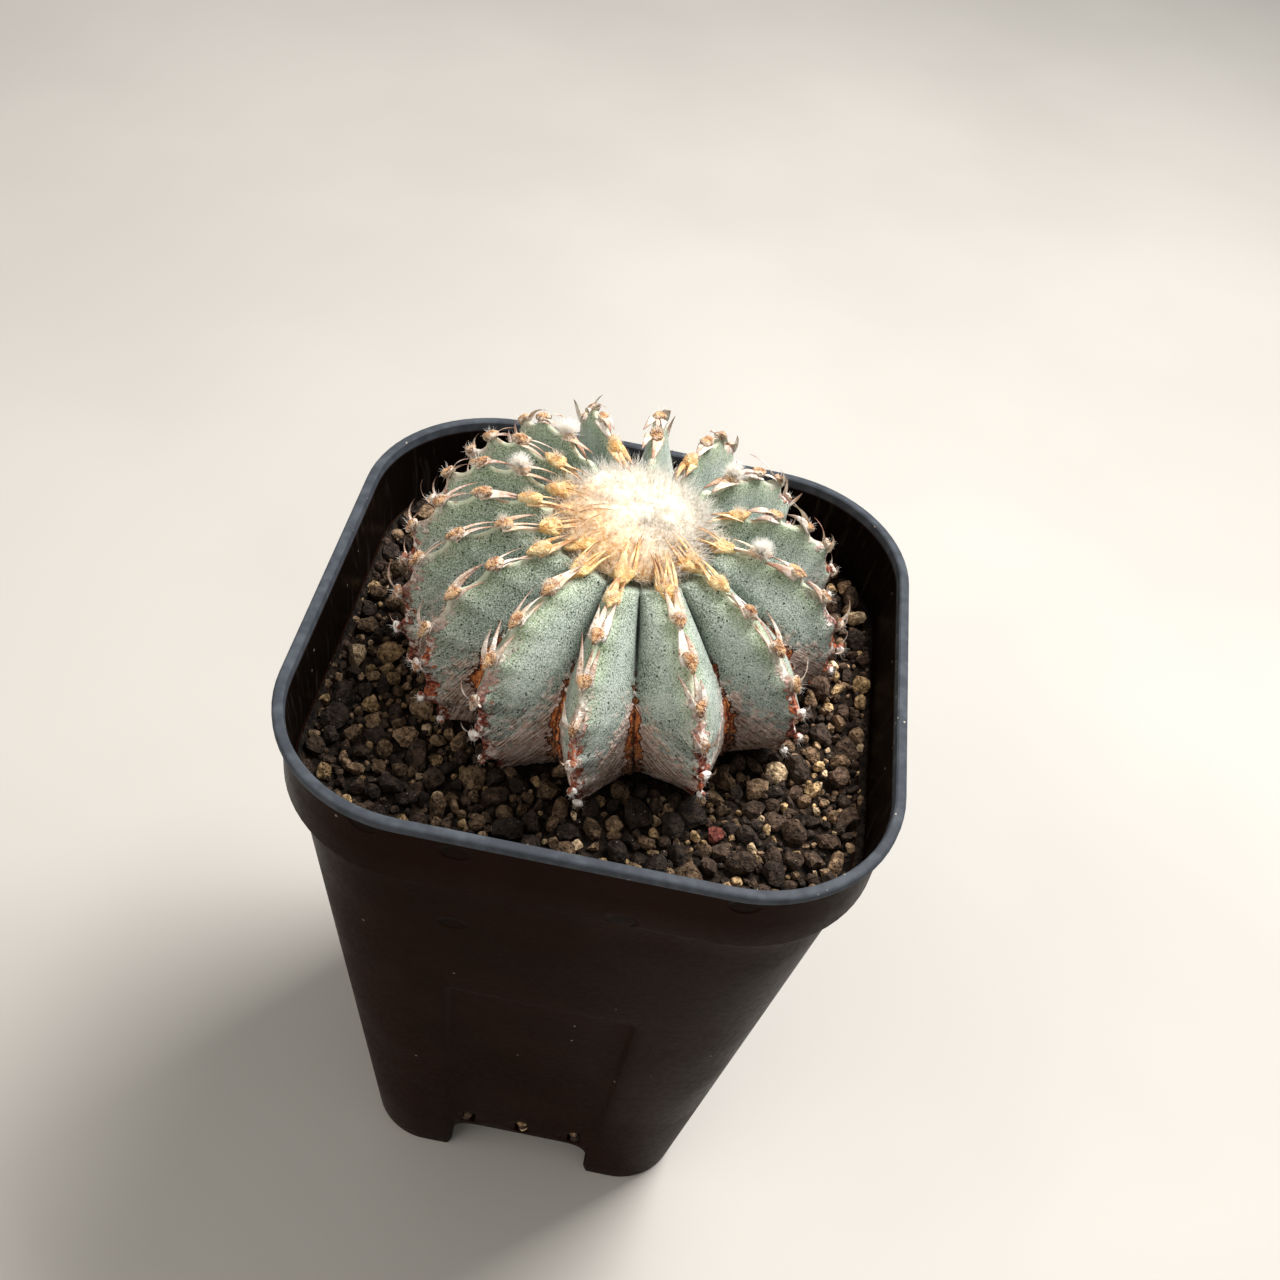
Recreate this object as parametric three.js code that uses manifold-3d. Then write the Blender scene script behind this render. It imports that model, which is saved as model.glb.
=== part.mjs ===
// A round ribbed cactus with a woolly crown, growing in volcanic grit in a deep square nursery pot.
// Millimetres, +Z up. The origin is the centre of the pot's base, on the surface that it stands on.

import * as THREE from 'three';
import { mergeVertices } from 'three/addons/utils/BufferGeometryUtils.js';
import Module from 'manifold-3d';

// The pot: half widths of its rounded square sections.
const POT_HEIGHT = 120;
const WALL = 1.5;
const FIT_GAP = 0.3;
const BASE_HALF = 29.8;
const BASE_CORNER = 11.3;
const BODY_TOP = 106;
const BODY_TOP_HALF = 42.35;
const BODY_TOP_CORNER = 21;
const COLLAR_STEP = 1;
const COLLAR_HALF = 43.9;
const COLLAR_CORNER = 21.9;
const LIP_UNDERSIDE = 118.4;
const LIP_HALF = 45;
const LIP_CORNER = 22.6;
const LIP_FILLET = 0.4;
const CORNER_STEPS = 6;
const FLOOR_UNDERSIDE = 12;
const FLOOR_THICKNESS = 1.5;
const ARCH = { span: 26, shoulder: 5, steps: 3 };
const FOOT_CUP = { centre: 20.6, half: 6.4, corner: 3, bottom: 1.6 };
const PANEL = { width: 30, top: 71.5, depth: 0.7 };
const DRAIN = { width: 2.4, top: 18, pitch: 10, floorRadius: 3, sides: 16 };
const OVERCUT = 1;

// The grit: its level, and the grains that stand out of it.
const GRIT_LEVEL = 107.4;
const GRAIN_PITCH = 5.1;
const GRAIN_JITTER = 1.1;
const GRAIN_SUNK = 0.2;
const GRAIN_RADII = [3.1, 2.7, 2.3, 1.8];
const GRAIN_WIDTH = [0.8, 1];
const GRAIN_HEIGHT = [0.62, 0.87];
const GRAIN_SETTLED = 0.1;
const GRAIN_CLEARANCE = { wall: 0.1, plant: 0.5 };

// The plant: its axis meets the grit behind and right of the pot's own, and leans to the front
// left by LEAN over LEAN_HEIGHT. TILT raises or lowers each side's share of the height.
const PLANT_CENTRE = new THREE.Vector2(4.2, 6.8);
const LEAN = new THREE.Vector2(-3.2, -3.5);
const LEAN_HEIGHT = 30;
const TILT = new THREE.Vector2(-0.0046, 0.002);
const PLANT_FOOT = 108;

// Each rib: its azimuth in degrees, and how far it reaches as a share of the drawn profile.
const RIBS = [[-97, 1.03], [-66, 0.93], [-33, 0.88], [1, 0.88], [27, 0.92], [51, 0.94],
  [72, 0.97], [93, 0.95], [116, 0.93], [138, 0.94], [156, 0.95], [173, 0.96], [190, 1.01],
  [206, 1.06], [222, 1.08], [240, 1.06]];
const CREST = [[13.4, 137.5], [21.5, 137.4], [26.8, 135.6], [31, 132.3], [33.7, 128],
  [34.8, 122], [34.5, 115.5], [32.3, 110.4], [30.6, 107.9]];
const GROOVE = [[12.3, 135.5], [15, 131.5], [19, 129.6], [23.5, 128.2], [26.6, 125],
  [27.9, 120.5], [27.6, 115], [26.2, 110.8], [25, 108.6]];
const CROWN_DISH = [[0, 133], [5, 133.3], [9.5, 134.6]];
const UNDERSIDE_AND_ROOT = [[15, 108.4], [9, 108.1], [7.6, 104], [6, 92], [3.6, 80], [0, 74]];
const ROOT_GAP = 0.5;
const ROOT_COLUMNS = 24;
const AREOLES = 7;
const CREST_ROWS = 2 * AREOLES;
const CREST_STATION = 0.1;
const RIB_STATIONS = [-0.5, -0.3, -CREST_STATION, CREST_STATION, 0.3];
const FULLNESS = { crown: 1.4, foot: 1.1 };
const AREOLE_RISE = 0.55;
const CREST_NOTCH = 0.55;
const CREST_HALF_WIDTH = { areole: 1.35, between: 0.75 };
const FOOT_RADIUS = { groove: 26.4, crest: 33 };

// The spines of each areole, from the crown outwards: how many, how long, how far they lean
// towards the crown.
const SPINES = [
  { count: 2, length: 6.6, lean: 0.22 }, { count: 2, length: 7, lean: 0.5 },
  { count: 1, length: 7.5, lean: 0.8 }, { count: 1, length: 7, lean: 1 },
  { count: 1, length: 6, lean: 1.1 },
];
const BLADE = { width: 1.3, flatness: 0.62, splay: 0.36, scatter: 0.4, curl: 1.2, shortest: 0.82 };

// The crown's wool: a low cushion with standing locks, in the dish between the youngest areoles.
const WOOL_OUTLINE = [[0, 141], [4.5, 140.6], [8.5, 139.4], [11.2, 137.9], [11.8, 137],
  [9.5, 135.1], [5, 133.7], [0, 133.4]];
const WOOL_COLUMNS = 16;
const LOCKS = 40;
const LOCK = { radius: 1.8, length: 3.6, sides: 5, reach: 10.2, sunk: 1.1, lean: 0.75 };

const wasm = await Module();
wasm.setup();

// Repeatable random numbers from 0 to 1.
function seeded(seed) {
  let state = seed;
  return () => {
    state = (state * 1664525 + 1013904223) % 4294967296;
    return state / 4294967296;
  };
}

// A closed surface of rings: place gives the point of each column and row, with row 0 at the
// top. The first and the last row are each one point.
function skin(columns, rows, place) {
  const geometry = new THREE.SphereGeometry(1, columns, rows);
  const { position, uv } = geometry.attributes;
  for (let i = 0; i < position.count; i += 1) {
    const row = Math.round((1 - uv.getY(i)) * rows);
    const column = Math.round(uv.getX(i) * columns) % columns;
    const point = place(row === 0 || row === rows ? 0 : column, row);
    position.setXYZ(i, point.x, point.y, point.z);
  }
  return geometry;
}

function solid(geometry) {
  const shape = geometry.clone();
  shape.deleteAttribute('uv');
  shape.deleteAttribute('normal');
  const merged = mergeVertices(shape, 1e-4);
  return new wasm.Manifold(new wasm.Mesh({
    numProp: 3,
    vertProperties: new Float32Array(merged.attributes.position.array),
    triVerts: new Uint32Array(merged.index.array),
  }));
}

function fused(solids) {
  return wasm.Manifold.union(solids);
}

function mesh(name, shape, material) {
  const { vertProperties, triVerts } = shape.getMesh();
  const geometry = new THREE.BufferGeometry();
  geometry.setAttribute('position', new THREE.BufferAttribute(vertProperties, 3));
  geometry.setIndex(new THREE.BufferAttribute(triVerts, 1));
  geometry.computeVertexNormals();
  const named = new THREE.Mesh(geometry, material);
  named.name = name;
  return named;
}

// ---- Pot ----

// A point of a rounded square: the arc of each corner in equal steps, with straight sides between.
function roundedSquarePoint(index, half, corner) {
  const perCorner = CORNER_STEPS + 1;
  const quarter = Math.floor(index / perCorner);
  const step = index % perCorner;
  const middle = new THREE.Vector2(half - corner, half - corner);
  middle.rotateAround(new THREE.Vector2(), quarter * Math.PI / 2);
  const turn = (quarter + step / CORNER_STEPS) * Math.PI / 2;
  return new THREE.Vector2(corner, 0).rotateAround(new THREE.Vector2(), turn).add(middle);
}

// A solid of stacked rounded squares, given as [height, half width, corner radius] from the top.
function squareStack(levels, centre = new THREE.Vector2()) {
  const rows = levels.length + 1;
  return solid(skin(4 * (CORNER_STEPS + 1), rows, (column, row) => {
    const [height, half, corner] = levels[THREE.MathUtils.clamp(row - 1, 0, levels.length - 1)];
    if (row === 0 || row === rows) return new THREE.Vector3(centre.x, centre.y, height);
    const point = roundedSquarePoint(column, half, corner).add(centre);
    return new THREE.Vector3(point.x, point.y, height);
  }));
}

function bodyHalfAt(height) {
  return THREE.MathUtils.mapLinear(height, 0, BODY_TOP, BASE_HALF, BODY_TOP_HALF);
}

function bodyCornerAt(height) {
  return THREE.MathUtils.mapLinear(height, 0, BODY_TOP, BASE_CORNER, BODY_TOP_CORNER);
}

// The pot's inside, drawn in by a clearance on every side.
function cavity(clearance, top) {
  const inset = WALL + clearance;
  const floor = FLOOR_UNDERSIDE + FLOOR_THICKNESS + clearance;
  const levels = [
    [POT_HEIGHT + OVERCUT, LIP_HALF - inset, LIP_CORNER - inset],
    [GRIT_LEVEL, COLLAR_HALF - inset, COLLAR_CORNER - inset],
    [BODY_TOP + COLLAR_STEP, COLLAR_HALF - inset, COLLAR_CORNER - inset],
    [BODY_TOP, BODY_TOP_HALF - inset, BODY_TOP_CORNER - inset],
    [floor, bodyHalfAt(floor) - inset, bodyCornerAt(floor) - inset],
  ].filter(([height]) => height <= top);
  const cup = [
    [floor + OVERCUT, FOOT_CUP.half - clearance, FOOT_CUP.corner - clearance],
    [FOOT_CUP.bottom + clearance, FOOT_CUP.half - clearance, FOOT_CUP.corner - clearance],
  ];
  const signs = [[1, 1], [-1, 1], [-1, -1], [1, -1]];
  const cups = signs.map(([x, y]) => {
    return squareStack(cup, new THREE.Vector2(x, y).multiplyScalar(FOOT_CUP.centre));
  });
  return fused([squareStack(levels), ...cups]);
}

// The gap between two feet: an arch with rounded shoulders, right through from side to side.
function archCut() {
  const { shoulder, steps } = ARCH;
  const half = ARCH.span / 2;
  const outline = new THREE.Shape();
  outline.moveTo(-half - OVERCUT, -OVERCUT);
  outline.lineTo(half + OVERCUT, -OVERCUT);
  outline.lineTo(half, FLOOR_UNDERSIDE - shoulder);
  outline.quadraticCurveTo(half, FLOOR_UNDERSIDE, half - shoulder, FLOOR_UNDERSIDE);
  outline.lineTo(-half + shoulder, FLOOR_UNDERSIDE);
  outline.quadraticCurveTo(-half, FLOOR_UNDERSIDE, -half, FLOOR_UNDERSIDE - shoulder);
  const depth = 2 * COLLAR_HALF;
  const arch = new THREE.ExtrudeGeometry(outline, { depth, bevelEnabled: false, curveSegments: steps });
  arch.translate(0, 0, -depth / 2);
  arch.rotateX(Math.PI / 2);
  return solid(arch);
}

// The flat sunk panel low on the front side, which leans out with the wall.
function panelCut() {
  const lean = Math.atan2(BODY_TOP_HALF - BASE_HALF, BODY_TOP);
  const height = 2 * PANEL.top / Math.cos(lean);
  const thickness = PANEL.depth + 3 * OVERCUT;
  const slab = new THREE.BoxGeometry(PANEL.width, thickness, height);
  slab.translate(0, PANEL.depth - thickness / 2, 0);
  slab.rotateX(lean);
  slab.translate(0, -BASE_HALF, 0);
  return solid(slab);
}

function drainCuts() {
  const depth = 4 * WALL;
  const height = DRAIN.top - FLOOR_UNDERSIDE + OVERCUT;
  return [-1, 0, 1].map((place) => {
    const slot = new THREE.BoxGeometry(DRAIN.width, depth, height);
    slot.translate(place * DRAIN.pitch, -bodyHalfAt(DRAIN.top), DRAIN.top - height / 2);
    return solid(slot);
  });
}

function pot() {
  const outside = squareStack([
    [POT_HEIGHT, LIP_HALF, LIP_CORNER],
    [LIP_UNDERSIDE, LIP_HALF, LIP_CORNER],
    [LIP_UNDERSIDE - LIP_FILLET, COLLAR_HALF + LIP_FILLET, COLLAR_CORNER + LIP_FILLET],
    [BODY_TOP + COLLAR_STEP / 2, COLLAR_HALF, COLLAR_CORNER],
    [BODY_TOP - COLLAR_STEP / 2, BODY_TOP_HALF, BODY_TOP_CORNER],
    [0, BASE_HALF, BASE_CORNER],
  ]);
  const cuts = [cavity(0, POT_HEIGHT + OVERCUT), archCut()];
  for (let side = 0; side < 4; side += 1) {
    const turned = [panelCut(), ...drainCuts()].map((cut) => cut.rotate([0, 0, side * 90]));
    cuts.push(...turned);
  }
  cuts.push(archCut().rotate([0, 0, 90]));
  const { floorRadius, sides } = DRAIN;
  const hole = new THREE.CylinderGeometry(floorRadius, floorRadius, FLOOR_UNDERSIDE, sides);
  hole.rotateX(Math.PI / 2);
  hole.translate(0, 0, FLOOR_UNDERSIDE);
  cuts.push(solid(hole));
  return outside.subtract(fused(cuts));
}

// ---- Plant ----

function ribAzimuth(rib) {
  const turns = Math.floor(rib / RIBS.length);
  return THREE.MathUtils.degToRad(RIBS[rib - turns * RIBS.length][0] + 360 * turns);
}

// How far the plant spreads to one side, between its ribs' own reaches.
function reach(azimuth) {
  const past = THREE.MathUtils.euclideanModulo(azimuth - ribAzimuth(0), 2 * Math.PI) + ribAzimuth(0);
  let rib = 0;
  while (ribAzimuth(rib + 1) < past) rib += 1;
  const share = (past - ribAzimuth(rib)) / (ribAzimuth(rib + 1) - ribAzimuth(rib));
  return THREE.MathUtils.lerp(RIBS[rib][1], RIBS[(rib + 1) % RIBS.length][1], share);
}

// A point of the leaning plant from its upright profile.
function inPlant(radius, azimuth, height) {
  const spread = radius * reach(azimuth);
  const arm = new THREE.Vector2(spread * Math.cos(azimuth), spread * Math.sin(azimuth));
  const above = height - PLANT_FOOT;
  const foot = arm.clone().add(PLANT_CENTRE).addScaledVector(LEAN, above / LEAN_HEIGHT);
  return new THREE.Vector3(foot.x, foot.y, PLANT_FOOT + above * (1 + arm.dot(TILT)));
}

const curveThrough = (points) => new THREE.SplineCurve(points.map(([r, z]) => new THREE.Vector2(r, z)));
const crestCurve = curveThrough(CREST);
const grooveCurve = curveThrough(GROOVE);

// How far down the crest, from 0 at the crown to 1 at the grit, an areole sits: on every other
// rib they sit half a step lower.
function areoleAt(rib, index) {
  return (index + 0.5 + 0.5 * (rib % 2)) / AREOLES;
}

// How much of an areole's rise a place on the crest has, from 0 between two areoles to 1 on one.
function areoleShare(rib, down) {
  return 0.5 + 0.5 * Math.cos(2 * Math.PI * AREOLES * (down - areoleAt(rib, 0)));
}

// The azimuth of a station across a rib, from -0.5 at one groove to 0.5 at the next.
function stationAzimuth(rib, station) {
  const middle = ribAzimuth(rib);
  const next = ribAzimuth(rib + Math.sign(station));
  return middle + Math.abs(station) * (next - middle);
}

// How much of the crest shows at a station: full flanks and a sharp groove near the crown,
// plain wedges at the foot.
function ribShare(station, down) {
  const fullness = THREE.MathUtils.lerp(FULLNESS.crown, FULLNESS.foot, down);
  return 1 - Math.abs(2 * station) ** fullness;
}

// A point of the skin on a rib: the crest rises and widens at each areole and is notched between.
function ribPoint(rib, station, down) {
  const areole = areoleShare(rib, down);
  const onCrest = Math.abs(station) === CREST_STATION;
  const crest = crestCurve.getPointAt(down);
  if (onCrest) {
    crest.addScaledVector(crestNormal(down), THREE.MathUtils.lerp(-CREST_NOTCH, AREOLE_RISE, areole));
    const { between, areole: wide } = CREST_HALF_WIDTH;
    const halfWidth = THREE.MathUtils.lerp(between, wide, areole) * Math.sign(station);
    return inPlant(crest.x, ribAzimuth(rib) + halfWidth / crest.x, crest.y);
  }
  const profile = crest.lerp(grooveCurve.getPointAt(down), 1 - ribShare(station, down));
  return inPlant(profile.x, stationAzimuth(rib, station), profile.y);
}

function crestNormal(down) {
  const tangent = crestCurve.getTangentAt(down);
  return new THREE.Vector2(-tangent.y, tangent.x);
}

function plantBody() {
  const perRib = RIB_STATIONS.length;
  const firstRow = CROWN_DISH.length;
  const lastRow = firstRow + CREST_ROWS;
  const rows = lastRow + UNDERSIDE_AND_ROOT.length;
  return solid(skin(RIBS.length * perRib, rows, (column, row) => {
    const rib = Math.floor(column / perRib);
    const station = RIB_STATIONS[column % perRib];
    const azimuth = stationAzimuth(rib, station);
    if (row < firstRow) return inPlant(CROWN_DISH[row][0], azimuth, CROWN_DISH[row][1]);
    if (row > lastRow) {
      const [radius, height] = UNDERSIDE_AND_ROOT[row - lastRow - 1];
      return inPlant(radius, azimuth, height);
    }
    return ribPoint(rib, station, (row - firstRow) / CREST_ROWS);
  }));
}

// The crest's own directions at a place: up off the skin, up towards the crown, and sideways.
function crestFrame(rib, down) {
  const azimuth = ribAzimuth(rib);
  const outward = new THREE.Vector3(Math.cos(azimuth), Math.sin(azimuth), 0);
  const up = new THREE.Vector3(0, 0, 1);
  const normal = crestNormal(down);
  const off = outward.clone().multiplyScalar(normal.x).addScaledVector(up, normal.y);
  const side = new THREE.Vector3().crossVectors(up, outward);
  const crownward = new THREE.Vector3().crossVectors(off, side).negate();
  const crest = crestCurve.getPointAt(down);
  return { origin: inPlant(crest.x, azimuth, crest.y), off, side, crownward };
}

// A flat papery spine that bends back towards the crown as it rises.
function spine(frame, { length, lean }, splay) {
  const blade = new THREE.ConeGeometry(BLADE.width / 2, length, 3, 2);
  blade.translate(0, length / 2, 0);
  blade.scale(BLADE.flatness, 1, 1);
  const { position } = blade.attributes;
  for (let i = 0; i < position.count; i += 1) {
    const along = position.getY(i) / length;
    position.setX(i, position.getX(i) + BLADE.curl * lean * along * along);
  }
  const rise = frame.off.clone().addScaledVector(frame.crownward, lean);
  rise.addScaledVector(frame.side, splay).normalize();
  const back = frame.crownward.clone().addScaledVector(rise, -frame.crownward.dot(rise)).normalize();
  const across = new THREE.Vector3().crossVectors(back, rise);
  blade.applyMatrix4(new THREE.Matrix4().makeBasis(back, rise, across));
  blade.translate(frame.origin.x, frame.origin.y, frame.origin.z);
  return solid(blade);
}

function plant() {
  const random = seeded(11);
  const parts = [plantBody()];
  for (let rib = 0; rib < RIBS.length; rib += 1) {
    for (let index = 0; index < AREOLES; index += 1) {
      const frame = crestFrame(rib, areoleAt(rib, index));
      const kind = SPINES[index];
      for (let i = 0; kind && i < kind.count; i += 1) {
        const side = kind.count === 2 ? 2 * i - 1 : 0;
        const splay = side * BLADE.splay + BLADE.scatter * (random() - 0.5);
        const length = kind.length * THREE.MathUtils.lerp(BLADE.shortest, 1, random());
        parts.push(spine(frame, { ...kind, length }, splay));
      }
    }
  }
  return fused(parts);
}

// ---- Crown wool ----

function wool() {
  const rows = WOOL_OUTLINE.length - 1;
  const cushion = solid(skin(WOOL_COLUMNS, rows, (column, row) => {
    const azimuth = 2 * Math.PI * column / WOOL_COLUMNS;
    const [radius, height] = WOOL_OUTLINE[row];
    return inPlant(radius, azimuth, height);
  }));
  const up = new THREE.Vector3(0, 1, 0);
  const top = WOOL_OUTLINE[0][1];
  const edge = WOOL_OUTLINE[3];
  const goldenAngle = Math.PI * (3 - Math.sqrt(5));
  const locks = Array.from({ length: LOCKS }, (_, index) => {
    const spread = Math.sqrt((index + 0.5) / LOCKS);
    const azimuth = index * goldenAngle;
    const height = top - (top - edge[1]) * (spread * LOCK.reach / edge[0]) ** 2;
    const tuft = new THREE.ConeGeometry(LOCK.radius, LOCK.length, LOCK.sides, 1);
    tuft.translate(0, LOCK.length / 2 - LOCK.sunk, 0);
    const lean = LOCK.lean * spread;
    const rise = new THREE.Vector3(Math.cos(azimuth) * lean, Math.sin(azimuth) * lean, 1);
    const turn = new THREE.Quaternion().setFromUnitVectors(up, rise.normalize());
    tuft.applyQuaternion(turn);
    const root = inPlant(spread * LOCK.reach, azimuth, height);
    tuft.translate(root.x, root.y, root.z);
    return solid(tuft);
  });
  return fused([cushion, ...locks]);
}

// ---- Grit ----

// Whether a point on the grit is clear of the plant's feet.
function clearOfPlant(point, clearance) {
  const arm = point.clone().sub(PLANT_CENTRE);
  const azimuth = arm.angle();
  const shares = RIBS.map((_, rib) => {
    const away = Math.atan2(Math.sin(azimuth - ribAzimuth(rib)), Math.cos(azimuth - ribAzimuth(rib)));
    const width = Math.abs(ribAzimuth(rib + Math.sign(away)) - ribAzimuth(rib));
    return Math.max(ribShare(Math.min(Math.abs(away) / width, 0.5), 1), 0);
  });
  const { groove, crest } = FOOT_RADIUS;
  const foot = THREE.MathUtils.lerp(groove, crest, Math.max(...shares)) * reach(azimuth);
  return arm.length() > foot + clearance;
}

function insidePot(point, margin) {
  const half = COLLAR_HALF - WALL - FIT_GAP - margin;
  const corner = COLLAR_CORNER - WALL - FIT_GAP - margin;
  const x = Math.max(Math.abs(point.x) - (half - corner), 0);
  const y = Math.max(Math.abs(point.y) - (half - corner), 0);
  return Math.hypot(x, y) <= corner;
}

function grainFits(centre, radius) {
  if (!insidePot(centre, radius + GRAIN_CLEARANCE.wall)) return false;
  return [0, 1, 2, 3, 4, 5, 6, 7].every((eighth) => {
    const azimuth = eighth * Math.PI / 4;
    const edge = new THREE.Vector2(radius, 0).rotateAround(new THREE.Vector2(), azimuth).add(centre);
    return clearOfPlant(edge, GRAIN_CLEARANCE.plant);
  });
}

// Grains on a loose honeycomb, the largest that fits at each place, trimmed flat below the
// grit's level so that they stay clear of the wall's step.
function grains(random) {
  const rowPitch = GRAIN_PITCH * Math.sqrt(3) / 2;
  const steps = Math.ceil(COLLAR_HALF / rowPitch);
  const placed = [];
  for (let row = -steps; row <= steps; row += 1) {
    for (let place = -steps; place <= steps; place += 1) {
      const x = (place + 0.5 * Math.abs(row % 2)) * GRAIN_PITCH + GRAIN_JITTER * (2 * random() - 1);
      const y = row * rowPitch + GRAIN_JITTER * (2 * random() - 1);
      const centre = new THREE.Vector2(x, y);
      const allowed = GRAIN_RADII.slice(Math.floor((GRAIN_RADII.length - 1) * random() ** 2));
      const radius = allowed.find((size) => grainFits(centre, size));
      if (radius) placed.push({ centre, radius });
    }
  }
  const below = new THREE.BoxGeometry(2 * LIP_HALF, 2 * LIP_HALF, 2 * GRAIN_PITCH);
  below.translate(0, 0, GRIT_LEVEL - GRAIN_PITCH - GRAIN_SUNK);
  const fullTurn = 2 * Math.PI;
  const stones = placed.map(({ centre, radius }) => {
    const grain = new THREE.IcosahedronGeometry(radius, 0);
    grain.rotateX(fullTurn * random());
    grain.rotateY(fullTurn * random());
    const width = THREE.MathUtils.lerp(...GRAIN_WIDTH, random());
    grain.scale(1, width, THREE.MathUtils.lerp(...GRAIN_HEIGHT, random()));
    grain.rotateZ(fullTurn * random());
    grain.translate(centre.x, centre.y, GRIT_LEVEL - GRAIN_SETTLED * radius);
    return solid(grain);
  });
  return fused(stones).subtract(solid(below));
}

function grit() {
  const random = seeded(7);
  const bed = cavity(FIT_GAP, GRIT_LEVEL);
  const root = UNDERSIDE_AND_ROOT.slice(1);
  const above = GRIT_LEVEL + GRAIN_PITCH;
  const mouth = [[0, above], [root[0][0] + ROOT_GAP, above]];
  const walls = root.slice(0, -1).map(([radius, height]) => [radius + ROOT_GAP, height]);
  const outline = [...mouth, ...walls, [0, root.at(-1)[1] - ROOT_GAP]];
  const hole = solid(skin(ROOT_COLUMNS, outline.length - 1, (column, row) => {
    return inPlant(outline[row][0], 2 * Math.PI * column / ROOT_COLUMNS, outline[row][1]);
  }));
  return fused([bed, grains(random)]).subtract(hole);
}

const finish = (color, roughness) => new THREE.MeshStandardMaterial({ color, roughness, metalness: 0 });

const cactus = new THREE.Group();
cactus.add(mesh('pot', pot(), finish(0x17130f, 0.45)));
cactus.add(mesh('grit', grit(), finish(0x5a4c3e, 0.95)));
cactus.add(mesh('cactus', plant(), finish(0x98a99c, 0.75)));
cactus.add(mesh('crown_wool', wool(), finish(0xf4e6c8, 1)));

export default cactus;
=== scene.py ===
import bmesh
import bpy
import numpy as np
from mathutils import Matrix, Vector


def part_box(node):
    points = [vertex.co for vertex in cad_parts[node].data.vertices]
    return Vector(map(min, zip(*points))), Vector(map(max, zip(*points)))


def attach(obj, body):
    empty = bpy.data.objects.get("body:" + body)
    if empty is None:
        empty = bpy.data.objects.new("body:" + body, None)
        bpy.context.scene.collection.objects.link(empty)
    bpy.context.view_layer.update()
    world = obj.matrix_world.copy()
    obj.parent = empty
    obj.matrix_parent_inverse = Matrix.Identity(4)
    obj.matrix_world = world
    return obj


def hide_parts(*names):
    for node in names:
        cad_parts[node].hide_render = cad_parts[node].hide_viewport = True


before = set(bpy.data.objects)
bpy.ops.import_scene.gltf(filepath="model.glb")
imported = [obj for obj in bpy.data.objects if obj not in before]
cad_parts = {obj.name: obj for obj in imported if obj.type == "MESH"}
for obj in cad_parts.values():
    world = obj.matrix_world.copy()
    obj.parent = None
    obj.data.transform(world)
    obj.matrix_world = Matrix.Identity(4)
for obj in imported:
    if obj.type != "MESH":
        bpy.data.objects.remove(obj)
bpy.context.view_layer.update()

# ---- Pot ----
# One moulding of black polypropylene: a rounded square bucket with a flat lip, a deep collar, a
# sunk panel low on each side and four hollow feet with arches between them. Slots above each
# arch and a hole in the floor let water out.
MM = 0.001
pot_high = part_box("pot")[1]
POT_HEIGHT = pot_high.z / MM
LIP_HALF = pot_high.x / MM
WALL = 1.5
BASE_HALF, BASE_CORNER = 29.8, 11.3
BODY_TOP, BODY_TOP_HALF, BODY_TOP_CORNER = 106, 42.35, 21
COLLAR_HALF, COLLAR_CORNER = 43.9, 21.9
LIP_CORNER, LIP_DEPTH = 22.6, 1.6
FLOOR_UNDERSIDE, FLOOR_TOP = 12, 13.5
# A small ring in the middle of the floor, where its skin is closed.
FLOOR_MIDDLE = [3, 1.5]
ARCH_HALF, ARCH_SHOULDER = 13, 5
# How far an arch opens beyond its half width near the ground, and how high.
ARCH_OPENING = [(1.8, -0.6), (0.9, 0.3), (0.35, 1.1), (0.08, 2.2)]
CUP_CENTRE, CUP_HALF, CUP_CORNER, CUP_BOTTOM = 20.6, 6.4, 3, 1.6
PANEL_TOP, PANEL_DEPTH, PANEL_STEP = 71.5, 0.7, 1.2
SLOT_WIDTH, SLOT_TOP, SLOT_SHOULDER, SLOT_PITCH = 2.4, 18, 0.8, 10
FLOOR_HOLE_RADIUS = 3
# The width of the softened edges, and over how many degrees an edge is softened or shown sharp.
SOFT_EDGE, SOFT_ANGLE, SHARP_ANGLE = 0.32, 50, 38
# Where the columns of the pot's wall stand on the straight part of a side, as shares of its half
# length. They are close together at the two edges of the sunk panel.
ACROSS_SIDE = [-1, -0.86, -0.76, -0.745, -0.73, -0.715, -0.7, -0.5, -0.25, 0,
               0.25, 0.5, 0.7, 0.715, 0.73, 0.745, 0.76, 0.86]
PANEL_EDGE = 0.73
CORNER_STEPS = 18


def new_solid(name, points, face_sets, smooth=True):
    """One mesh object at the origin. points are in millimetres; each set of faces is an array
    with one row of point numbers per face."""
    mesh = bpy.data.meshes.new(name)
    corners = np.concatenate([faces.ravel() for faces in face_sets]).astype(np.int32)
    sides = np.concatenate([np.full(len(faces), faces.shape[1]) for faces in face_sets])
    mesh.vertices.add(len(points))
    mesh.vertices.foreach_set("co", (np.asarray(points, float) * MM).ravel())
    mesh.loops.add(len(corners))
    mesh.loops.foreach_set("vertex_index", corners)
    mesh.polygons.add(len(sides))
    mesh.polygons.foreach_set("loop_start", (np.cumsum(sides) - sides).astype(np.int32))
    mesh.polygons.foreach_set("use_smooth", np.full(len(sides), smooth))
    mesh.update(calc_edges=True)
    mesh.validate()
    piece = bpy.data.objects.new(name, mesh)
    bpy.context.scene.collection.objects.link(piece)
    return piece


def bands_between(rows, columns):
    """Quads that join each ring of points to the next one, then the points' own numbers, then
    those of the points beside them."""
    at = np.arange(rows * columns).reshape(rows, columns)
    beside = np.roll(at, -1, axis=1)
    return np.stack([at[:-1], at[1:], beside[1:], beside[:-1]], -1).reshape(-1, 4), at, beside


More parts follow.
